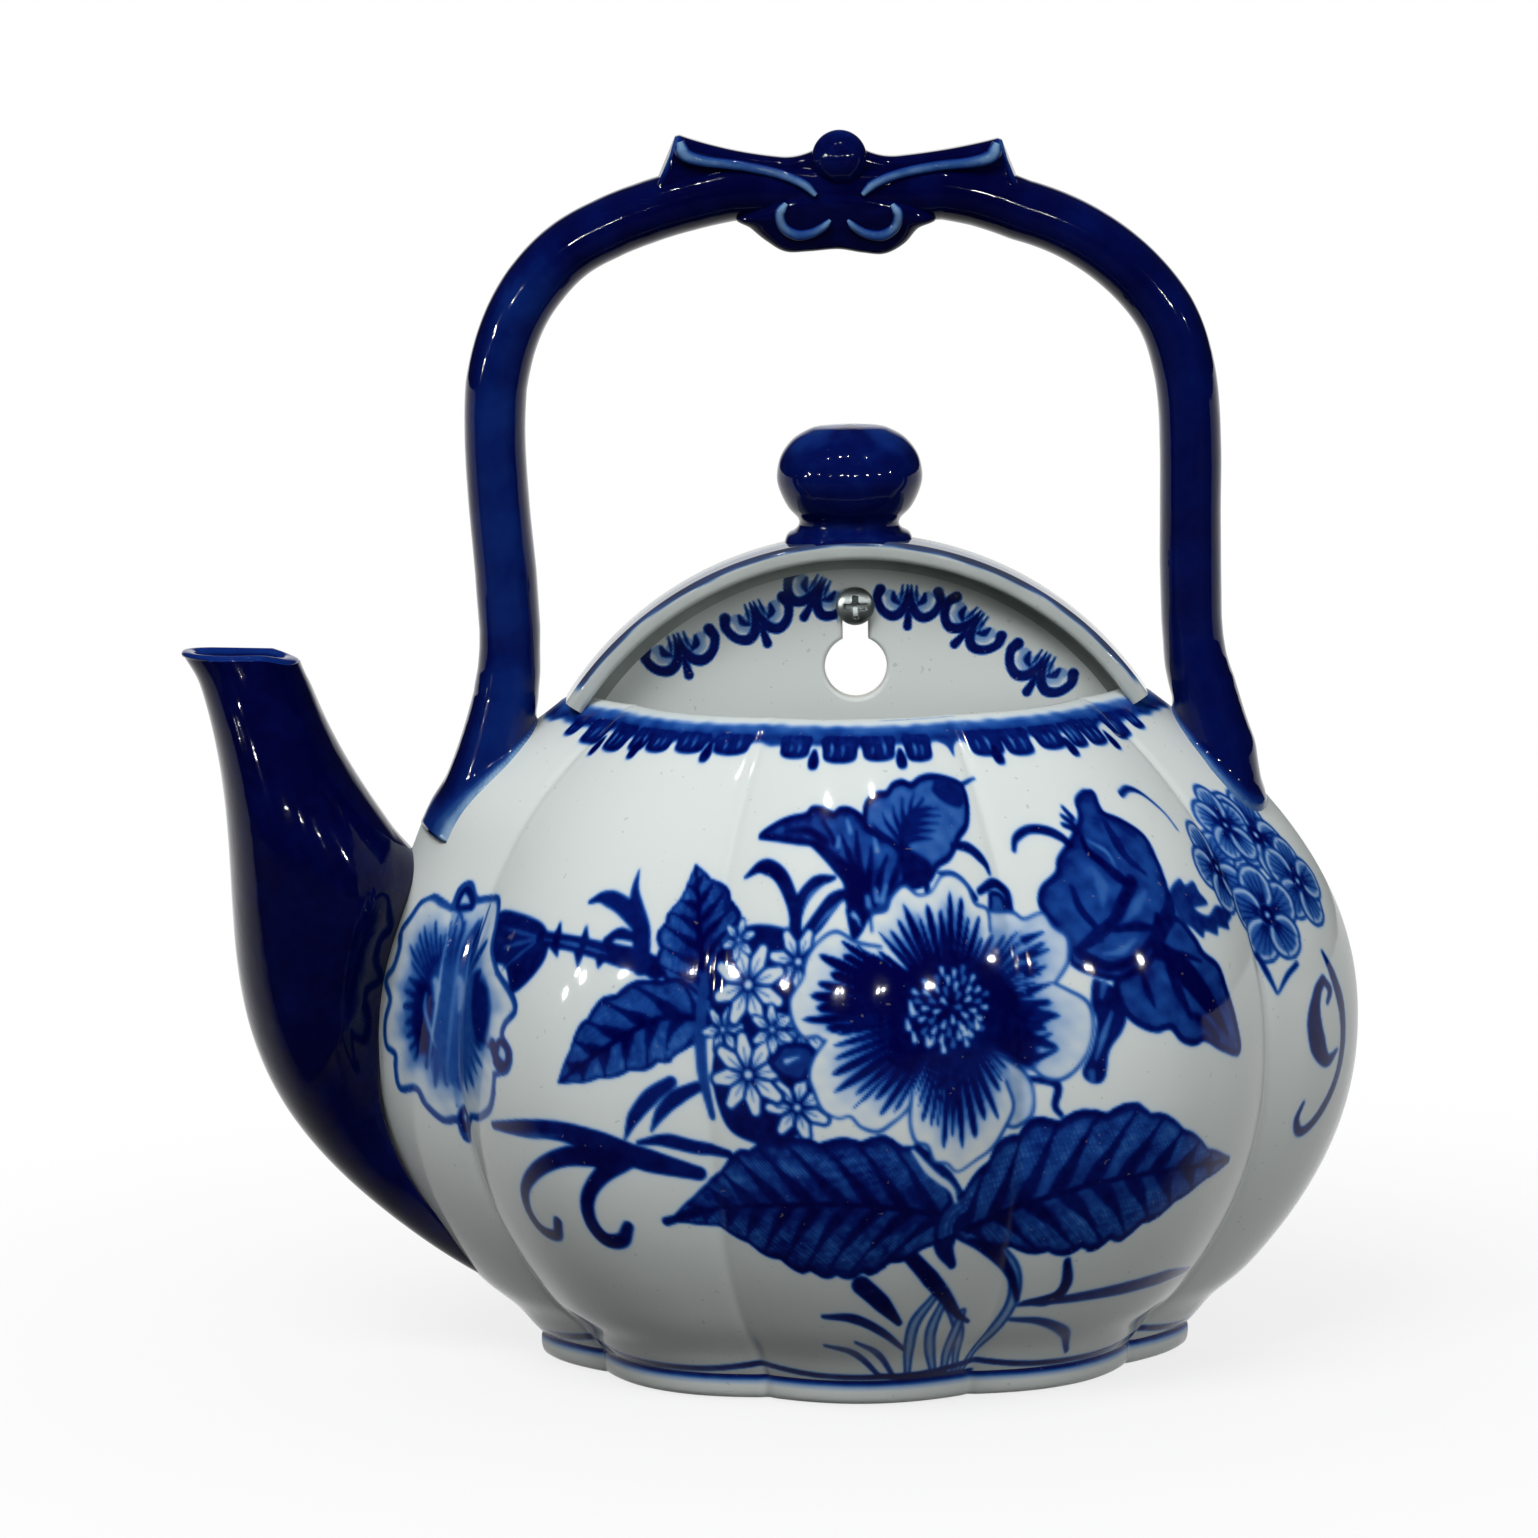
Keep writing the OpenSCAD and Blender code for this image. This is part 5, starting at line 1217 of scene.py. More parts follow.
# How far the spout's root is tucked into the pot's side, and how much its lip is rounded. Its
# depths go by shares of its run from the root.
SPOUT_TUCK, LIP_ROUND = 4, 0.9
SPOUT_DEPTHS = [(0, 17), (0.2, 20), (0.42, 26), (0.6, 28), (0.74, 27), (0.86, 23), (0.94, 19), (1, 16.5)]
SPOUT_OUTER = [(-0.995 * FOOT_HALF, 0, FOOT_Z + 0.075 * POT_H),
               (-1.141 * SPOUT_REACH, 0, FOOT_Z + 0.441 * POT_H),
               (-0.846 * SPOUT_REACH, 0, BELLY_Z + 0.168 * POT_H), (-SPOUT_REACH, 0, SPOUT_TOP_Z)]
SPOUT_INNER = [(-0.53 * BELLY_HALF, 0, BELLY_Z - 0.253 * POT_H),
               (-0.758 * BELLY_HALF, 0, BELLY_Z + 0.253 * POT_H),
               (-SPOUT_REACH + 1.56 * SPOUT_MOUTH_W, 0, MOUTH_Z - 0.232 * POT_H),
               (-SPOUT_REACH + SPOUT_MOUTH_W, 0, SPOUT_TOP_Z)]


def spout_rows(t):
    """Rings of the spout at each share of its run, from the root to the mouth."""
    outer, inner = bezier(SPOUT_OUTER, t), bezier(SPOUT_INNER, t)
    tucked = SPOUT_TUCK - pot_half(inner[:, 2])
    inner[:, 0] = -4 * np.logaddexp(-inner[:, 0] / 4, -tucked / 4)
    wide = np.linalg.norm(inner - outer, axis=1)
    deep = np.interp(t, *smooth_line(SPOUT_DEPTHS).T) * np.sqrt(np.minimum(1, 0.05 + 3 * t))
    return half_oval((outer + inner) / 2, (inner - outer) / wide[:, None], wide, deep)


def spout_mouth(top):
    """Rings of the spout's rounded lip and of its dished mouth, inwards from the top ring."""
    middle = top.mean(0)
    lip, dish = [], []
    for turn in np.linspace(0, np.pi, 11)[1:]:
        ring = top + (middle - top) * (1 - math.cos(turn)) / 2 * SPOUT_LIP / 9
        ring[:, 2] = SPOUT_TOP_Z - LIP_ROUND + LIP_ROUND * math.sin(turn)
        lip.append(ring)
    for k in np.linspace(0, 1, 12)[1:]:
        ring = lip[-1] + (middle - lip[-1]) * k ** 1.6
        ring[:, 2] = SPOUT_TOP_Z - LIP_ROUND - (SPOUT_DISH - LIP_ROUND) * (1 - (1 - k) ** 2)
        dish.append(ring)
    return lip, dish


def pour_lip(rows):
    """Draws the mouth's outer corner out a little and lets its inner corner sink."""
    shoulder = ramp(rows[..., 0], -SPOUT_REACH + 0.55 * SPOUT_MOUTH_W, -SPOUT_REACH + SPOUT_MOUTH_W)
    high = ramp(rows[..., 2], SPOUT_TOP_Z - 9, SPOUT_TOP_Z)
    rows[..., 2] -= 2.0 * shoulder ** 2 * high
    flare = ramp(rows[..., 0], -SPOUT_REACH + 0.5 * SPOUT_MOUTH_W, -SPOUT_REACH)
    rows[..., 0] -= 1.5 * flare * high ** 2
    rows[..., 2] += 0.4 * high ** 2


def spout_piece():
    """The spout: a soft lip round its dished mouth, and a fillet where it leaves the body."""
    t = np.concatenate([np.linspace(1, 0.94, 26), np.linspace(0.935, 0.0, 150)])
    body = seat_on_pot(spout_rows(t), sink=2.0, fillet=7, swell=2.4)
    lip, dish = spout_mouth(body[0].copy())
    body[:, :, 2] = np.minimum(body[:, :, 2], SPOUT_TOP_Z - LIP_ROUND)
    for rows in (body, *lip, *dish):
        pour_lip(rows)
    rows = np.concatenate([np.array(dish)[::-1], np.array(lip)[::-1], body])
    thin = np.full(rows.shape[:2], 0.42)
    thin[:len(dish)] = 0.12
    thin[len(dish) + len(lip) + 3:] = 0.02 + 0.05 * ramp(depth_in_pot(body[3:]), -6, -1)
    return cobalt_skin("spout_glazed", rows, thin, flip=True)


# The knob's half width at each share of its height.
KNOB_OUTLINE = [(-0.15, 0.95), (0.0, 0.88), (0.05, 0.76), (0.10, 0.71), (0.16, 0.73), (0.26, 0.86),
                (0.41, 0.965), (0.55, 1.0), (0.73, 0.94), (0.87, 0.78), (0.95, 0.58), (0.985, 0.40),
                (1.0, 0.02)]


def knob_piece():
    """The two-lobed knob on its neck, left white towards its flat back."""
    t = np.linspace(0, 1, 120)
    z = mix(CROWN_Z - 3, CROWN_Z + KNOB_H - 0.02, 1 - (1 - t) ** 1.9)
    middle = CROWN_Z + 0.54 * KNOB_H
    outline = smooth_line([(h * KNOB_H, w * KNOB_HALF) for h, w in KNOB_OUTLINE], 12)
    width = np.interp(z - CROWN_Z, outline[:, 0], outline[:, 1])
    a = np.linspace(-np.pi / 2, np.pi / 2, 120)
    lobes = np.hypot(np.sin(2 * (a + np.pi / 2)), 0.14) - 0.14
    groove = ramp(z, middle - 11, middle + 2)[:, None]
    reach = width[:, None] * (1 + 0.1 * lobes * mix(0.6, 1.15, groove) - 0.012)
    deep = -reach * np.cos(a) * KNOB_DEPTH / KNOB_HALF
    flush = LID_FRONT + 0.5 - 6 * ramp(z, CROWN_Z + 0.5, CROWN_Z + 7)
    rows = cloud(reach * np.sin(a) - 0.75, np.clip(deep, flush[:, None], 0), z[:, None])
    neck = ramp(rows[:, :, 2], CROWN_Z + 5, CROWN_Z + 1) * ramp(rows[:, :, 0], 2, NECK_HALF)
    rows[:, :, 0] -= 0.7 * neck
    deep = -rows[:, :, 1]
    blot = 0.9 + 0.8 * wander(rows[:, :, 0] / 2.6 + 3, rows[:, :, 2] / 2.9)
    top = ramp(z, middle + 4, middle + 10)[:, None]
    thin = 0.20 + 0.30 * ramp(lobes[None, :], 0.45, 0.95) * top + 0.05 * wander(a * 3, z[:, None] / 4)
    thin = thin + 0.95 * ramp(deep, 1.5 + blot, 0.3 + blot * 0.6)
    return cobalt_skin("knob_glazed", rows, thin)


# ---- the bow on the handle ---------------------------------------------------


def on_bow(pts):
    """Puts points drawn about the middle line on the hoop as it stands."""
    tilt = math.atan(HOOP_SKEW / HOOP_HALF)
    turn = np.array(Matrix.Rotation(tilt, 3, "Y"))
    pivot = np.array([0, 0, HOOP_TOP_Z])
    return (pts - pivot) @ turn.T + pivot + np.array([-HOOP_LEAN - 0.6, 0, 0.3])


# The rolled edge of a ribbon and the scroll under it, in millimetres across and up from the bead.
RIBBON_LINE = [(4.9, -7.7), (7.6, -5.4), (12.8, -3.4), (20.5, -1.9), (28.2, -1.0), (32.4, 0.3), (33.6, 3.0)]
SCROLL_LINE = [(10.9, -9.2), (12.2, -11.4), (11.4, -14.2), (8.8, -15.8), (5.6, -15.4), (3.2, -14.0),
               (1.8, -12.6)]
SPRIG_RIM = [(-21, -12.4), (-18.2, -14.8), (-15, -17.4), (-11, -19.6), (-6, -19.5), (0, -19.0), (5, -19.7),
             (9.6, -19.9), (13.6, -17.8), (16.4, -14.6), (20, -12.2), (12, -8), (0, -6.5), (-12, -8)]
# Sections from the hoop outwards: share of the way and place in y, for the wing and the scroll's block.
WING_SECTION = [(0, -3.6), (0, -9.4), (0.2, -10.2), (0.4, -9.6), (0.55, -9.1), (0.7, -9.4), (0.85, -9.8),
                (0.94, -9.0), (0.99, -7.6), (1, -6.2), (1, -3.6)]
SPRIG_SECTION = [(0.3, -BOW_FRONT + 0.6), (0.6, -BOW_FRONT + 0.5), (0.82, -BOW_FRONT + 0.6),
                 (0.93, -BOW_FRONT + 1.2), (0.985, -BOW_FRONT + 2.4), (1, -BOW_FRONT + 4),
                 (1, -BOW_FRONT / 4)]


def rolled_line(name, line, radius, squash, shade, side):
    """A raised line of clay on the bow; its crest runs as pale as shade says. Side -1 mirrors it."""
    a, radius = full_turn(20), radius[:, None]
    rings = line[:, None, :] + line_sides(line)[:, None, :] * (radius * np.cos(a))[:, :, None]
    rings[:, :, 1] += radius * squash * np.sin(a)
    rings = rings * [side, 1, 1]
    facing = -(rings[:, :, 1] - line[:, 1:2]) / radius
    return cobalt_skin(name, on_bow(rings), shade[:, None] * ramp(facing, -0.2, 0.95), side < 0)


def ribbon_edge(name, side):
    """The rolled lower edge of a ribbon."""
    line = smooth_line(RIBBON_LINE, 14)
    line[:, 0] *= 0.98 if side < 0 else 0.965
    line[:, 1] += 0.2 if side < 0 else 0.4
    t = np.linspace(0, 1, len(line))
    line = cloud(line[:, 0], -BOW_FRONT + 0.2 - 1.9 * ramp(t, 0.55, 0.15), BEAD_Z + line[:, 1])
    radius = np.interp(t, [0, 0.12, 0.6, 0.9, 1], [0.6, 1.05, 1.15, 1.6, 0.9])
    shade = np.interp(t, [0, 0.15, 0.5, 0.8, 1], [0.80, 0.74, 0.66, 0.78, 0.86])
    return rolled_line(name, line, radius, 0.8, shade, side)


def ribbon_wing(name, side):
    """The flat of a ribbon: it rises from the hoop and ends in a cut tip."""
    t = np.linspace(0, 1, 90)
    reach = BOW_HALF + (-0.6 if side < 0 else -0.9)
    low = cloud(mix(3.0, reach, t), 0, HOOP_TOP_Z - 2)
    lift = -0.3 + 0.7 * t if side < 0 else -0.2 + 0.7 * np.sin(2.6 * t)
    by_bead, tip = 3.2 * (1 - np.clip(t / 0.3, 0, 1)) ** 2, 0.5 * ramp(t, 0.97, 1.0)
    rise = 0.7 + (TIP_RISE - 1.6) * t ** 2.3 + by_bead - tip + lift
    high = cloud(low[:, 0], 0, BOW_TOP_Z + rise)
    wing = []
    for k, y in WING_SECTION:
        row = mix(low, high, k)
        row[:, 0] += 5.5 * (1 - k) ** 2.5 * ramp(t, 0.8, 1)
        row[:, 1] = y
        wing.append(row)
    wing = np.array(wing).transpose(1, 0, 2) * [side, 1, 1]
    pale = ramp(t, 0.93, 1)[:, None] * ramp(wing[:, :, 2], BEAD_Z, BEAD_Z + 2)
    return cobalt_skin(name, on_bow(wing), 0.02 + 0.5 * pale, side < 0)


def ribbon(side):
    """One ribbon, the left with side -1 and the right with side 1."""
    name = "ribbon_left" if side < 0 else "ribbon_right"
    return join(name + "_glazed", [ribbon_edge(name + "_edge", side), ribbon_wing(name + "_wing", side)])


def bow_slope(z):
    """How far the scrollwork comes forward towards the hoop's front."""
    return 1.9 * ramp(z, BEAD_Z - 18, BEAD_Z - 10)


def sprig():
    """The scrollwork under the bow: a soft block with two raised, curled lines."""
    rim = closed(SPRIG_RIM, 8)
    rim = cloud(rim[:, 0], 0, BEAD_Z + rim[:, 1])
    hub = np.array([0, 0, BEAD_Z - 12.5])
    rows = []
    for k, y in SPRIG_SECTION:
        row = mix(hub, rim, k)
        row[:, 1] = y - bow_slope(row[:, 2]) * (y < -BOW_FRONT / 2)
        rows.append(row)
    rows = np.array(rows)
    uneven = wander(rows[:, :, 0] / 3, rows[:, :, 2] / 3)
    parts = [cobalt_skin("sprig_block", on_bow(rows), 0.02 + 0.05 * uneven)]
    line = smooth_line(SCROLL_LINE, 12)
    t = np.linspace(0, 1, len(line))
    z = BEAD_Z + line[:, 1]
    line = cloud(line[:, 0], -BOW_FRONT + 0.2 - bow_slope(z), z)
    radius = np.interp(t, [0, 0.1, 0.5, 0.9, 1], [0.6, 1.1, 1.2, 0.85, 0.4])
    shade = np.interp(t, [0, 0.3, 0.55, 0.8, 1], [0.84, 0.74, 0.60, 0.70, 0.80])
    for side in (-1, 1):
        parts.append(rolled_line("sprig_coil", line, radius, 0.85, shade, side))
    return join("sprig_glazed", parts)


def bead():
    """The round bead in the middle of the bow."""
    lat = np.linspace(-np.pi / 2, np.pi / 2, 40)[1:-1]
    lon = full_turn(64)
    x = BEAD_R * np.cos(lat)[:, None] * np.cos(lon)
    z = BEAD_R * np.cos(lat)[:, None] * np.sin(lon) * 1.02
    y = BEAD_R * np.sin(lat)[:, None] - BOW_FRONT + BEAD_R / 3
    pts = cloud(x, np.minimum(y, -3.2), z + BEAD_Z)
    thin = 0.1 + 0.15 * ramp(z, 0.7 * BEAD_R, BEAD_R) + 0.05 * wander(x, z)
    return cobalt_skin("bead_glazed", on_bow(pts), thin, flip=True)


# ---- wall screw --------------------------------------------------------------

# The thread's rise in a turn, its core and its depth, and the length of the screw's point.
THREAD_RISE, CORE_R, THREAD_H, POINT_L = 1.8, 1.42, 0.56, 6


def screw_head():
    """The domed head with its cross recess, as a polar grid seen from the front."""
    radius = np.concatenate([np.linspace(0.02, 3.5, 46), [3.75, 3.9, 3.97, 4.0, 4.0, 3.9, 3.6, NECK_D / 2]])
    a = full_turn(120)
    dome = HEAD_H * np.sqrt(np.maximum(0, 1 - (np.minimum(radius, 3.97) / 4.35) ** 2.4))
    drop = np.concatenate([dome[:49], [0.75, 0.35, 0.08, 0, 0]])
    x, z = radius[:, None] * np.cos(a), radius[:, None] * np.sin(a)
    arm = np.minimum(*[np.maximum(np.abs(p) / 0.56, np.abs(q) / 2.2) for p, q in ((x, z), (z, x))])
    fillet = np.abs(x * z) < 0.62
    floor = 1.6 * ramp(arm, 1.12, 0.9) * (1 - 0.18 * np.hypot(x, z))
    floor = np.maximum(floor, 0.9 * fillet * ramp(np.hypot(x, z), 1.6, 1.1))
    y = -PLATE_T - HEAD_GAP - drop[:, None] + np.maximum(floor, 0) * (radius[:, None] < 2.6)
    return grid_piece("screw_head", cloud(x, y, z), wrap=True, caps=(0,))


def screw_shank():
    """The neck and the threaded shank with its point, all inside the wall plug."""
    y = np.linspace(-PLATE_T - HEAD_GAP - 0.05, SHANK_IN_WALL, 520)
    a = full_turn(36)
    phase = (y[:, None] / THREAD_RISE - a / (2 * np.pi)) % 1
    ridge = 1 - np.abs(phase - 0.5) * 2
    threaded = ramp(y, 0.2, 1.2)[:, None]
    point = np.clip((SHANK_IN_WALL - y) / POINT_L, 0.02, 1)[:, None] ** 0.8
    radius = mix(NECK_D / 2, CORE_R + THREAD_H * ridge ** 2, threaded) * point
    pts = cloud(radius * np.cos(a), y[:, None], radius * np.sin(a))
    return grid_piece("screw_shank", pts, wrap=True, caps=(-1,))


# ---- materials ---------------------------------------------------------------

PORCELAIN = (0.69, 0.73, 0.705)
INK = [(0.0, PORCELAIN), (0.12, (0.50, 0.60, 0.70)), (0.3, (0.20, 0.34, 0.60)), (0.48, (0.040, 0.14, 0.42)),
       (0.66, (0.009, 0.058, 0.29)), (0.84, (0.0015, 0.010, 0.135)), (1.0, (0.0004, 0.0008, 0.055))]
COBALT = [(0.0, (0.0006, 0.0009, 0.030)), (0.2, (0.0012, 0.005, 0.075)), (0.42, (0.004, 0.022, 0.16)),
          (0.62, (0.022, 0.075, 0.25)), (0.82, (0.16, 0.29, 0.48)), (1.0, (0.52, 0.60, 0.66))]
# The third colour here is the grey of the painted shade under the lid's arch.
COOL_TINT, SPECK, PAINTED_SHADE_TINT = (0.94, 0.965, 0.975), (0.22, 0.2, 0.17), (0.10, 0.125, 0.115)
BISQUE = (0.60, 0.575, 0.53), (0.70, 0.68, 0.64)
STEEL = (0.17, 0.20, 0.20), (0.36, 0.39, 0.38)
FLOOR_DARK, FLOOR_PALE = (0.055, 0.055, 0.055), ((0.80, 0.80, 0.80), (0.83, 0.83, 0.83))
BLACK, WHITE, SKY = (0.0, 0.0, 0.0), (1.0, 1.0, 1.0), (1.0, 1.02, 1.05)


def feed(tree, socket, value):
    """Gives a socket a number, a colour or another node's output."""
    if isinstance(value, (int, float)):
        socket.default_value = value
    elif isinstance(value, tuple):
        socket.default_value = (*value, 1)
    else:
        tree.links.new(value, socket)


def add(tree, kind, **sockets):
    """A new node with its sockets fed; _ stands for a space in a socket's name."""
    node = tree.nodes.new(kind)
    for key, value in sockets.items():
        feed(tree, node.inputs[key.replace("_", " ")], value)
    return node


def new_material(name):
    mat = bpy.data.materials.new(name)
    mat.use_nodes = True
    tree = mat.node_tree
    tree.nodes.clear()
    shader = tree.nodes.new("ShaderNodeBsdfPrincipled")
    add(tree, "ShaderNodeOutputMaterial", Surface=shader.outputs[0])
    return mat, tree, shader


def object_noise(tree, scale, detail=3.0, rough=0.5):
    place = tree.nodes.new("ShaderNodeTexCoord").outputs["Object"]
    noise = add(tree, "ShaderNodeTexNoise", Vector=place, Scale=scale, Detail=detail, Roughness=rough)
    return noise.outputs["Fac"]


def scaled(tree, value, low, high, start=0.0, end=1.0, how="LINEAR"):
    """value in start..end taken to low..high."""
    node = tree.nodes.new("ShaderNodeMapRange")
    node.interpolation_type = how
    feed(tree, node.inputs["Value"], value)
    for key, number in (("From Min", start), ("From Max", end), ("To Min", low), ("To Max", high)):
        node.inputs[key].default_value = number
    return node.outputs["Result"]


def cloudy(tree, scale, detail, low, high, rough=0.5):
    """Object noise taken to low..high."""
    return scaled(tree, object_noise(tree, scale, detail, rough), low, high)


def maths(tree, how, a, b):
    node = tree.nodes.new("ShaderNodeMath")
    node.operation = how
    feed(tree, node.inputs[0], a)
    feed(tree, node.inputs[1], b)
    return node.outputs[0]


def attribute(tree, name):
    node = tree.nodes.new("ShaderNodeAttribute")
    node.attribute_name = name
    return node.outputs["Fac"]


def colour_ramp(tree, value, stops):
    node = add(tree, "ShaderNodeValToRGB", Fac=value)
    while len(node.color_ramp.elements) < len(stops):
        node.color_ramp.elements.new(0.5)
    for element, (place, colour) in zip(node.color_ramp.elements, stops):
        element.position = place
        element.color = (*colour, 1)
    return node.outputs["Color"]


def mix_colour(tree, factor, a, b, how="MIX"):
    node = tree.nodes.new("ShaderNodeMix")
    node.data_type = "RGBA"
    node.blend_type = how
    for k, value in ((0, factor), (6, a), (7, b)):
        feed(tree, node.inputs[k], value)
    return node.outputs[2]


def bump(tree, shader, height, strength, distance):
    node = add(tree, "ShaderNodeBump", Strength=strength, Distance=distance, Height=height)
    tree.links.new(node.outputs[0], shader.inputs["Normal"])


def glazed(tree, shader, wave, peel, share, strength, level):
    """The slow wave and the fine orange peel of a fired glaze, and its gloss level."""
    fine = maths(tree, "MULTIPLY", object_noise(tree, peel, 2), share)
    bump(tree, shader, maths(tree, "ADD", object_noise(tree, wave, 2), fine), strength, 0.0004)
    shader.inputs["Specular IOR Level"].default_value = level


def porcelain_material():
    """White porcelain under clear glaze, with the underglaze cobalt of the ink attribute, and painted shade
    on the lid's arch and the plate under it.
    """
    mat, tree, shader = new_material("painted_porcelain_glaze")
    ink, dry = attribute(tree, "ink"), attribute(tree, "dry")
    uneven = maths(tree, "ADD", cloudy(tree, 420, 3, -0.10, 0.10), cloudy(tree, 60, 3, -0.14, 0.14))
    pigment = colour_ramp(tree, maths(tree, "ADD", ink, maths(tree, "MULTIPLY", uneven, ink)), INK)
    body = mix_colour(tree, cloudy(tree, 14, 2, 0, 0.5), WHITE, COOL_TINT)
    colour = mix_colour(tree, 1.0, pigment, body, "MULTIPLY")
    speck = maths(tree, "GREATER_THAN", cloudy(tree, 900, 0, 0, 1), 0.83)
    colour = mix_colour(tree, maths(tree, "MULTIPLY", speck, 0.25), colour, SPECK)
    # Painted shade on the lid's arch and on the plate under it, mixed in with a little noise.
    painted_shade_amount = maths(tree, "MULTIPLY", attribute(tree, "painted_shade"), cloudy(tree, 90, 3, 0.75, 1.2))
    colour = mix_colour(tree, painted_shade_amount, colour, PAINTED_SHADE_TINT)
    bisque = mix_colour(tree, object_noise(tree, 300, 4), *BISQUE)
    tree.links.new(mix_colour(tree, dry, colour, bisque), shader.inputs["Base Color"])
    rough = maths(tree, "ADD", cloudy(tree, 45, 3, 0.035, 0.085), maths(tree, "MULTIPLY", dry, 0.55))
    tree.links.new(rough, shader.inputs["Roughness"])
    glazed(tree, shader, 75, 700, 0.05, 0.35, 0.16)
    return mat


def cobalt_material():
    """Deep cobalt glaze, paler where its attribute says: where the glaze runs thin, and where sheen is
    painted on the handle.
    """
    mat, tree, shader = new_material("cobalt_run_glaze")
    depth = maths(tree, "ADD", attribute(tree, "thin"), cloudy(tree, 110, 4, -0.13, 0.13, 0.6))
    depth = maths(tree, "ADD", depth, cloudy(tree, 420, 3, -0.05, 0.05))
    tree.links.new(colour_ramp(tree, depth, COBALT), shader.inputs["Base Color"])
    tree.links.new(cloudy(tree, 50, 3, 0.03, 0.09), shader.inputs["Roughness"])
    glazed(tree, shader, 120, 800, 0.06, 0.4, 0.13)
    return mat


def steel_material():
    """Zinc-plated steel with a fine turned grain and dulled patches."""
    mat, tree, shader = new_material("zinc_plated_steel")
    dull = object_noise(tree, 500, 4)
    tree.links.new(mix_colour(tree, dull, *STEEL), shader.inputs["Base Color"])
    tree.links.new(scaled(tree, dull, 0.24, 0.46), shader.inputs["Roughness"])
    shader.inputs["Metallic"].default_value = 1.0
    bump(tree, shader, object_noise(tree, 2600, 2), 0.25, 0.0001)
    return mat


def seen_white(tree, behind):
    """1 for the camera, and as far as behind says for glossy and transmitted rays; and those rays alone."""
    rays = tree.nodes.new("ShaderNodeLightPath").outputs
    mirrored = maths(tree, "MAXIMUM", rays["Is Glossy Ray"], rays["Is Transmission Ray"])
    return maths(tree, "MAXIMUM", rays["Is Camera Ray"], maths(tree, "MULTIPLY", mirrored, behind)), mirrored


def floor_material():
    """Pale floor that keeps the shadow and fades to white with distance. Glaze and metal mirror it
    as the camera sees it behind the pot; the studio in front is dark."""
    mat, tree, shader = new_material("pale_floor")
    place = tree.nodes.new("ShaderNodeNewGeometry").outputs["Position"]
    depth = add(tree, "ShaderNodeSeparateXYZ", Vector=place).outputs["Y"]
    seen, _ = seen_white(tree, scaled(tree, depth, 0.0, 1.0, -0.07, 0.0))
    pale = mix_colour(tree, object_noise(tree, 30, 3), *FLOOR_PALE)
    tree.links.new(mix_colour(tree, seen, FLOOR_DARK, pale), shader.inputs["Base Color"])
    shader.inputs["Roughness"].default_value = 0.9
    shader.inputs["Specular IOR Level"].default_value = 0.1
    length = tree.nodes.new("ShaderNodeVectorMath")
    length.operation = "LENGTH"
    tree.links.new(place, length.inputs[0])
    away = scaled(tree, length.outputs["Value"], 0.74, 1.0, 0.10, 0.36, "SMOOTHSTEP")
    glow = add(tree, "ShaderNodeEmission", Color=WHITE, Strength=1.0)
    both = tree.nodes.new("ShaderNodeMixShader")
    for k, value in enumerate((maths(tree, "MULTIPLY", away, seen), shader.outputs[0], glow.outputs[0])):
        tree.links.new(value, both.inputs[k])
    out = next(n for n in tree.nodes if n.type == "OUTPUT_MATERIAL")
    tree.links.new(both.outputs[0], out.inputs[0])
    return mat


# ---- stage -------------------------------------------------------------------

# The photograph's view: a long lens a little above the pot, tipped so that the pot leans left.
CAMERA_PLACE, CAMERA_TARGET, CAMERA_ROLL = (-0.0185, -1.5, 0.1989), (-0.0185, 0, -0.0351), -0.9
LENS, SENSOR = 169.15, 36
LIT = (0, -0.04, -0.06)         # where the lamps point
FLOOR_HALF, FLOOR_GAP = 12, 0.0002
GLINTS = ((-1.6, -1.0, 0.45), (-1.9, -0.8, 0.30), (-0.5, -0.9, 2.0), (0.2, -0.9, 2.1))
SPOT_ANGLES, SPOT_PAIR, SPOT_GLOW = (-62, -38, -12, 9, 33, 60), 0.055, 2600


def in_scene(name, data):
    """A new object of the scene."""
    ob = bpy.data.objects.new(name, data)
    bpy.context.scene.collection.objects.link(ob)
    return ob


def add_floor():
    me = bpy.data.meshes.new("floor")
    z, r = FOOT_Z * MM - FLOOR_GAP, FLOOR_HALF
    me.from_pydata([(-r, -r, z), (r, -r, z), (r, r, z), (-r, r, z)], [], [(0, 1, 2, 3)])
    floor = in_scene("floor", me)
    me.materials.append(floor_material())


def aim(ob, place, target, roll=0.0):
    """Puts an object at a place and turns its -Z to the target, tipped by roll degrees."""
    look = (Vector(target) - Vector(place)).to_track_quat("-Z", "Y").to_matrix().to_4x4()
    ob.matrix_world = Matrix.Translation(Vector(place)) @ look @ Matrix.Rotation(math.radians(roll), 4, "Z")


def add_camera():
    data = bpy.data.cameras.new("camera")
    data.lens = LENS
    data.sensor_width = SENSOR
    data.clip_end = 100
    camera = in_scene("camera", data)
    aim(camera, CAMERA_PLACE, CAMERA_TARGET, CAMERA_ROLL)
    bpy.context.scene.camera = camera


def add_lamp(name, place, shape, watts, size, size_y=0.0):
    """A lamp that points at the pot. Panels light it and aren't mirrored; round ones are only mirrored."""
    data = bpy.data.lights.new(name, "AREA")
    data.shape = shape
    data.size = size
    data.size_y = size_y or size
    data.energy = watts
    lamp = in_scene(name, data)
    lamp.visible_glossy = shape == "DISK"
    lamp.visible_diffuse = shape == "RECTANGLE"
    aim(lamp, place, LIT)


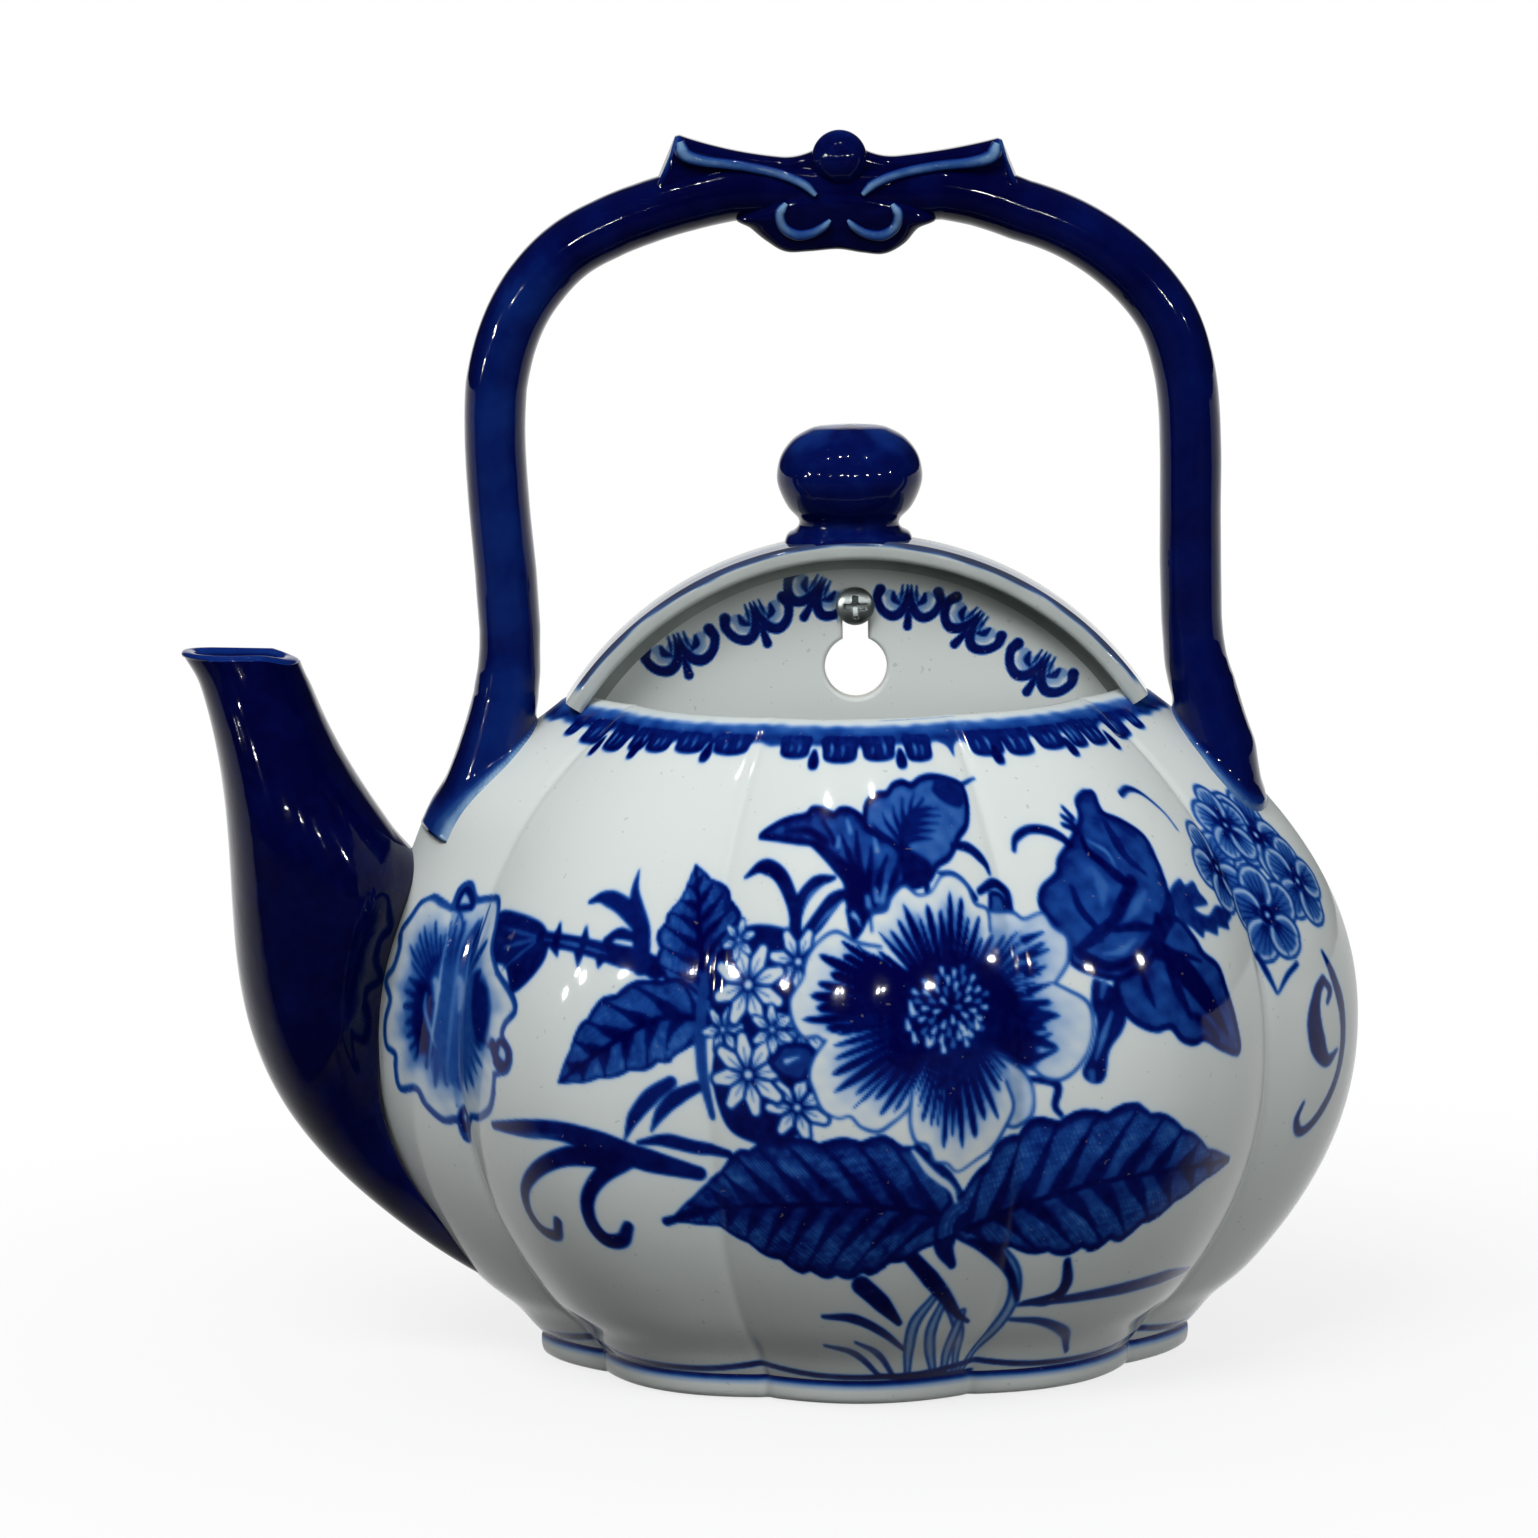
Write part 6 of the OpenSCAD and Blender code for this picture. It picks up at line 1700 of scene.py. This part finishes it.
def add_lights():
    """A soft key from above in front, a weak fill, and small paired spots for the glaze."""
    add_lamp("key", (-0.6, -1.2, 1.5), "RECTANGLE", 31, 1.2, 0.9)
    add_lamp("fill", (1.2, -1.6, 0.3), "RECTANGLE", 11, 0.9, 1.2)
    for k, place in enumerate(GLINTS):
        add_lamp(f"glint_{k}", place, "DISK", 9, 0.07)
    for k, across in enumerate(SPOT_ANGLES):
        a = math.radians(across)
        for pair, size in ((-SPOT_PAIR, 0.045), (SPOT_PAIR, 0.032)):
            place = (2.3 * math.sin(a) + pair * math.cos(a), -2.3 * math.cos(a), 0.62 + 0.03 * (k % 2))
            add_lamp(f"spot_{k}_{pair}", place, "DISK", SPOT_GLOW * size * size, size)


def add_world():
    """Grey studio all round; white where the camera looks, and behind the pot for glaze and metal."""
    world = bpy.data.worlds.new("studio")
    bpy.context.scene.world = world
    world.use_nodes = True
    tree = world.node_tree
    tree.nodes.clear()
    way = tree.nodes.new("ShaderNodeTexCoord").outputs["Generated"]
    way = add(tree, "ShaderNodeSeparateXYZ", Vector=way).outputs
    white, mirrored = seen_white(tree, scaled(tree, way["Y"], 0.0, 1.0, 0.90, 0.995, "SMOOTHSTEP"))
    dim = maths(tree, "SUBTRACT", 1.0, maths(tree, "MULTIPLY", mirrored, 0.93))
    high = maths(tree, "MULTIPLY", scaled(tree, way["Z"], 0.16, 0.42), dim)
    colour = mix_colour(tree, white, mix_colour(tree, high, BLACK, SKY), WHITE)
    shade = add(tree, "ShaderNodeBackground", Color=colour, Strength=1.0)
    add(tree, "ShaderNodeOutputWorld", Surface=shade.outputs[0])


# ---- the scene ---------------------------------------------------------------


def dress(piece, material, body, node):
    """Puts a piece on its body in place of the frame's node."""
    piece.data.materials.clear()
    piece.data.materials.append(material)
    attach(piece, body)
    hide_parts(node)


def build():
    bpy.context.scene.view_settings.view_transform = "Standard"
    add_camera()
    add_lights()
    add_world()
    add_floor()
    porcelain, cobalt, steel = porcelain_material(), cobalt_material(), steel_material()
    dress(pot_skin(), porcelain, "pot", "pocket_wall")
    dress(foot_skirt(), porcelain, "pot", "foot")
    dress(back_piece(), porcelain, "pot", "back_plate")
    dress(lid_arch(), porcelain, "pot", "lid_wall_arch")
    for node, piece in (("lid_knob", knob_piece()), ("spout", spout_piece()), ("handle_hoop", handle_hoop()),
                        ("ribbon_left", ribbon(-1)), ("ribbon_right", ribbon(1)), ("scroll_sprig", sprig()),
                        ("bow_bead", bead())):
        dress(piece, cobalt, "pot", node)
    dress(join("screw_piece", [screw_head(), screw_shank()]), steel, "screw", "wall_screw")


build()


bpy.context.view_layer.update()
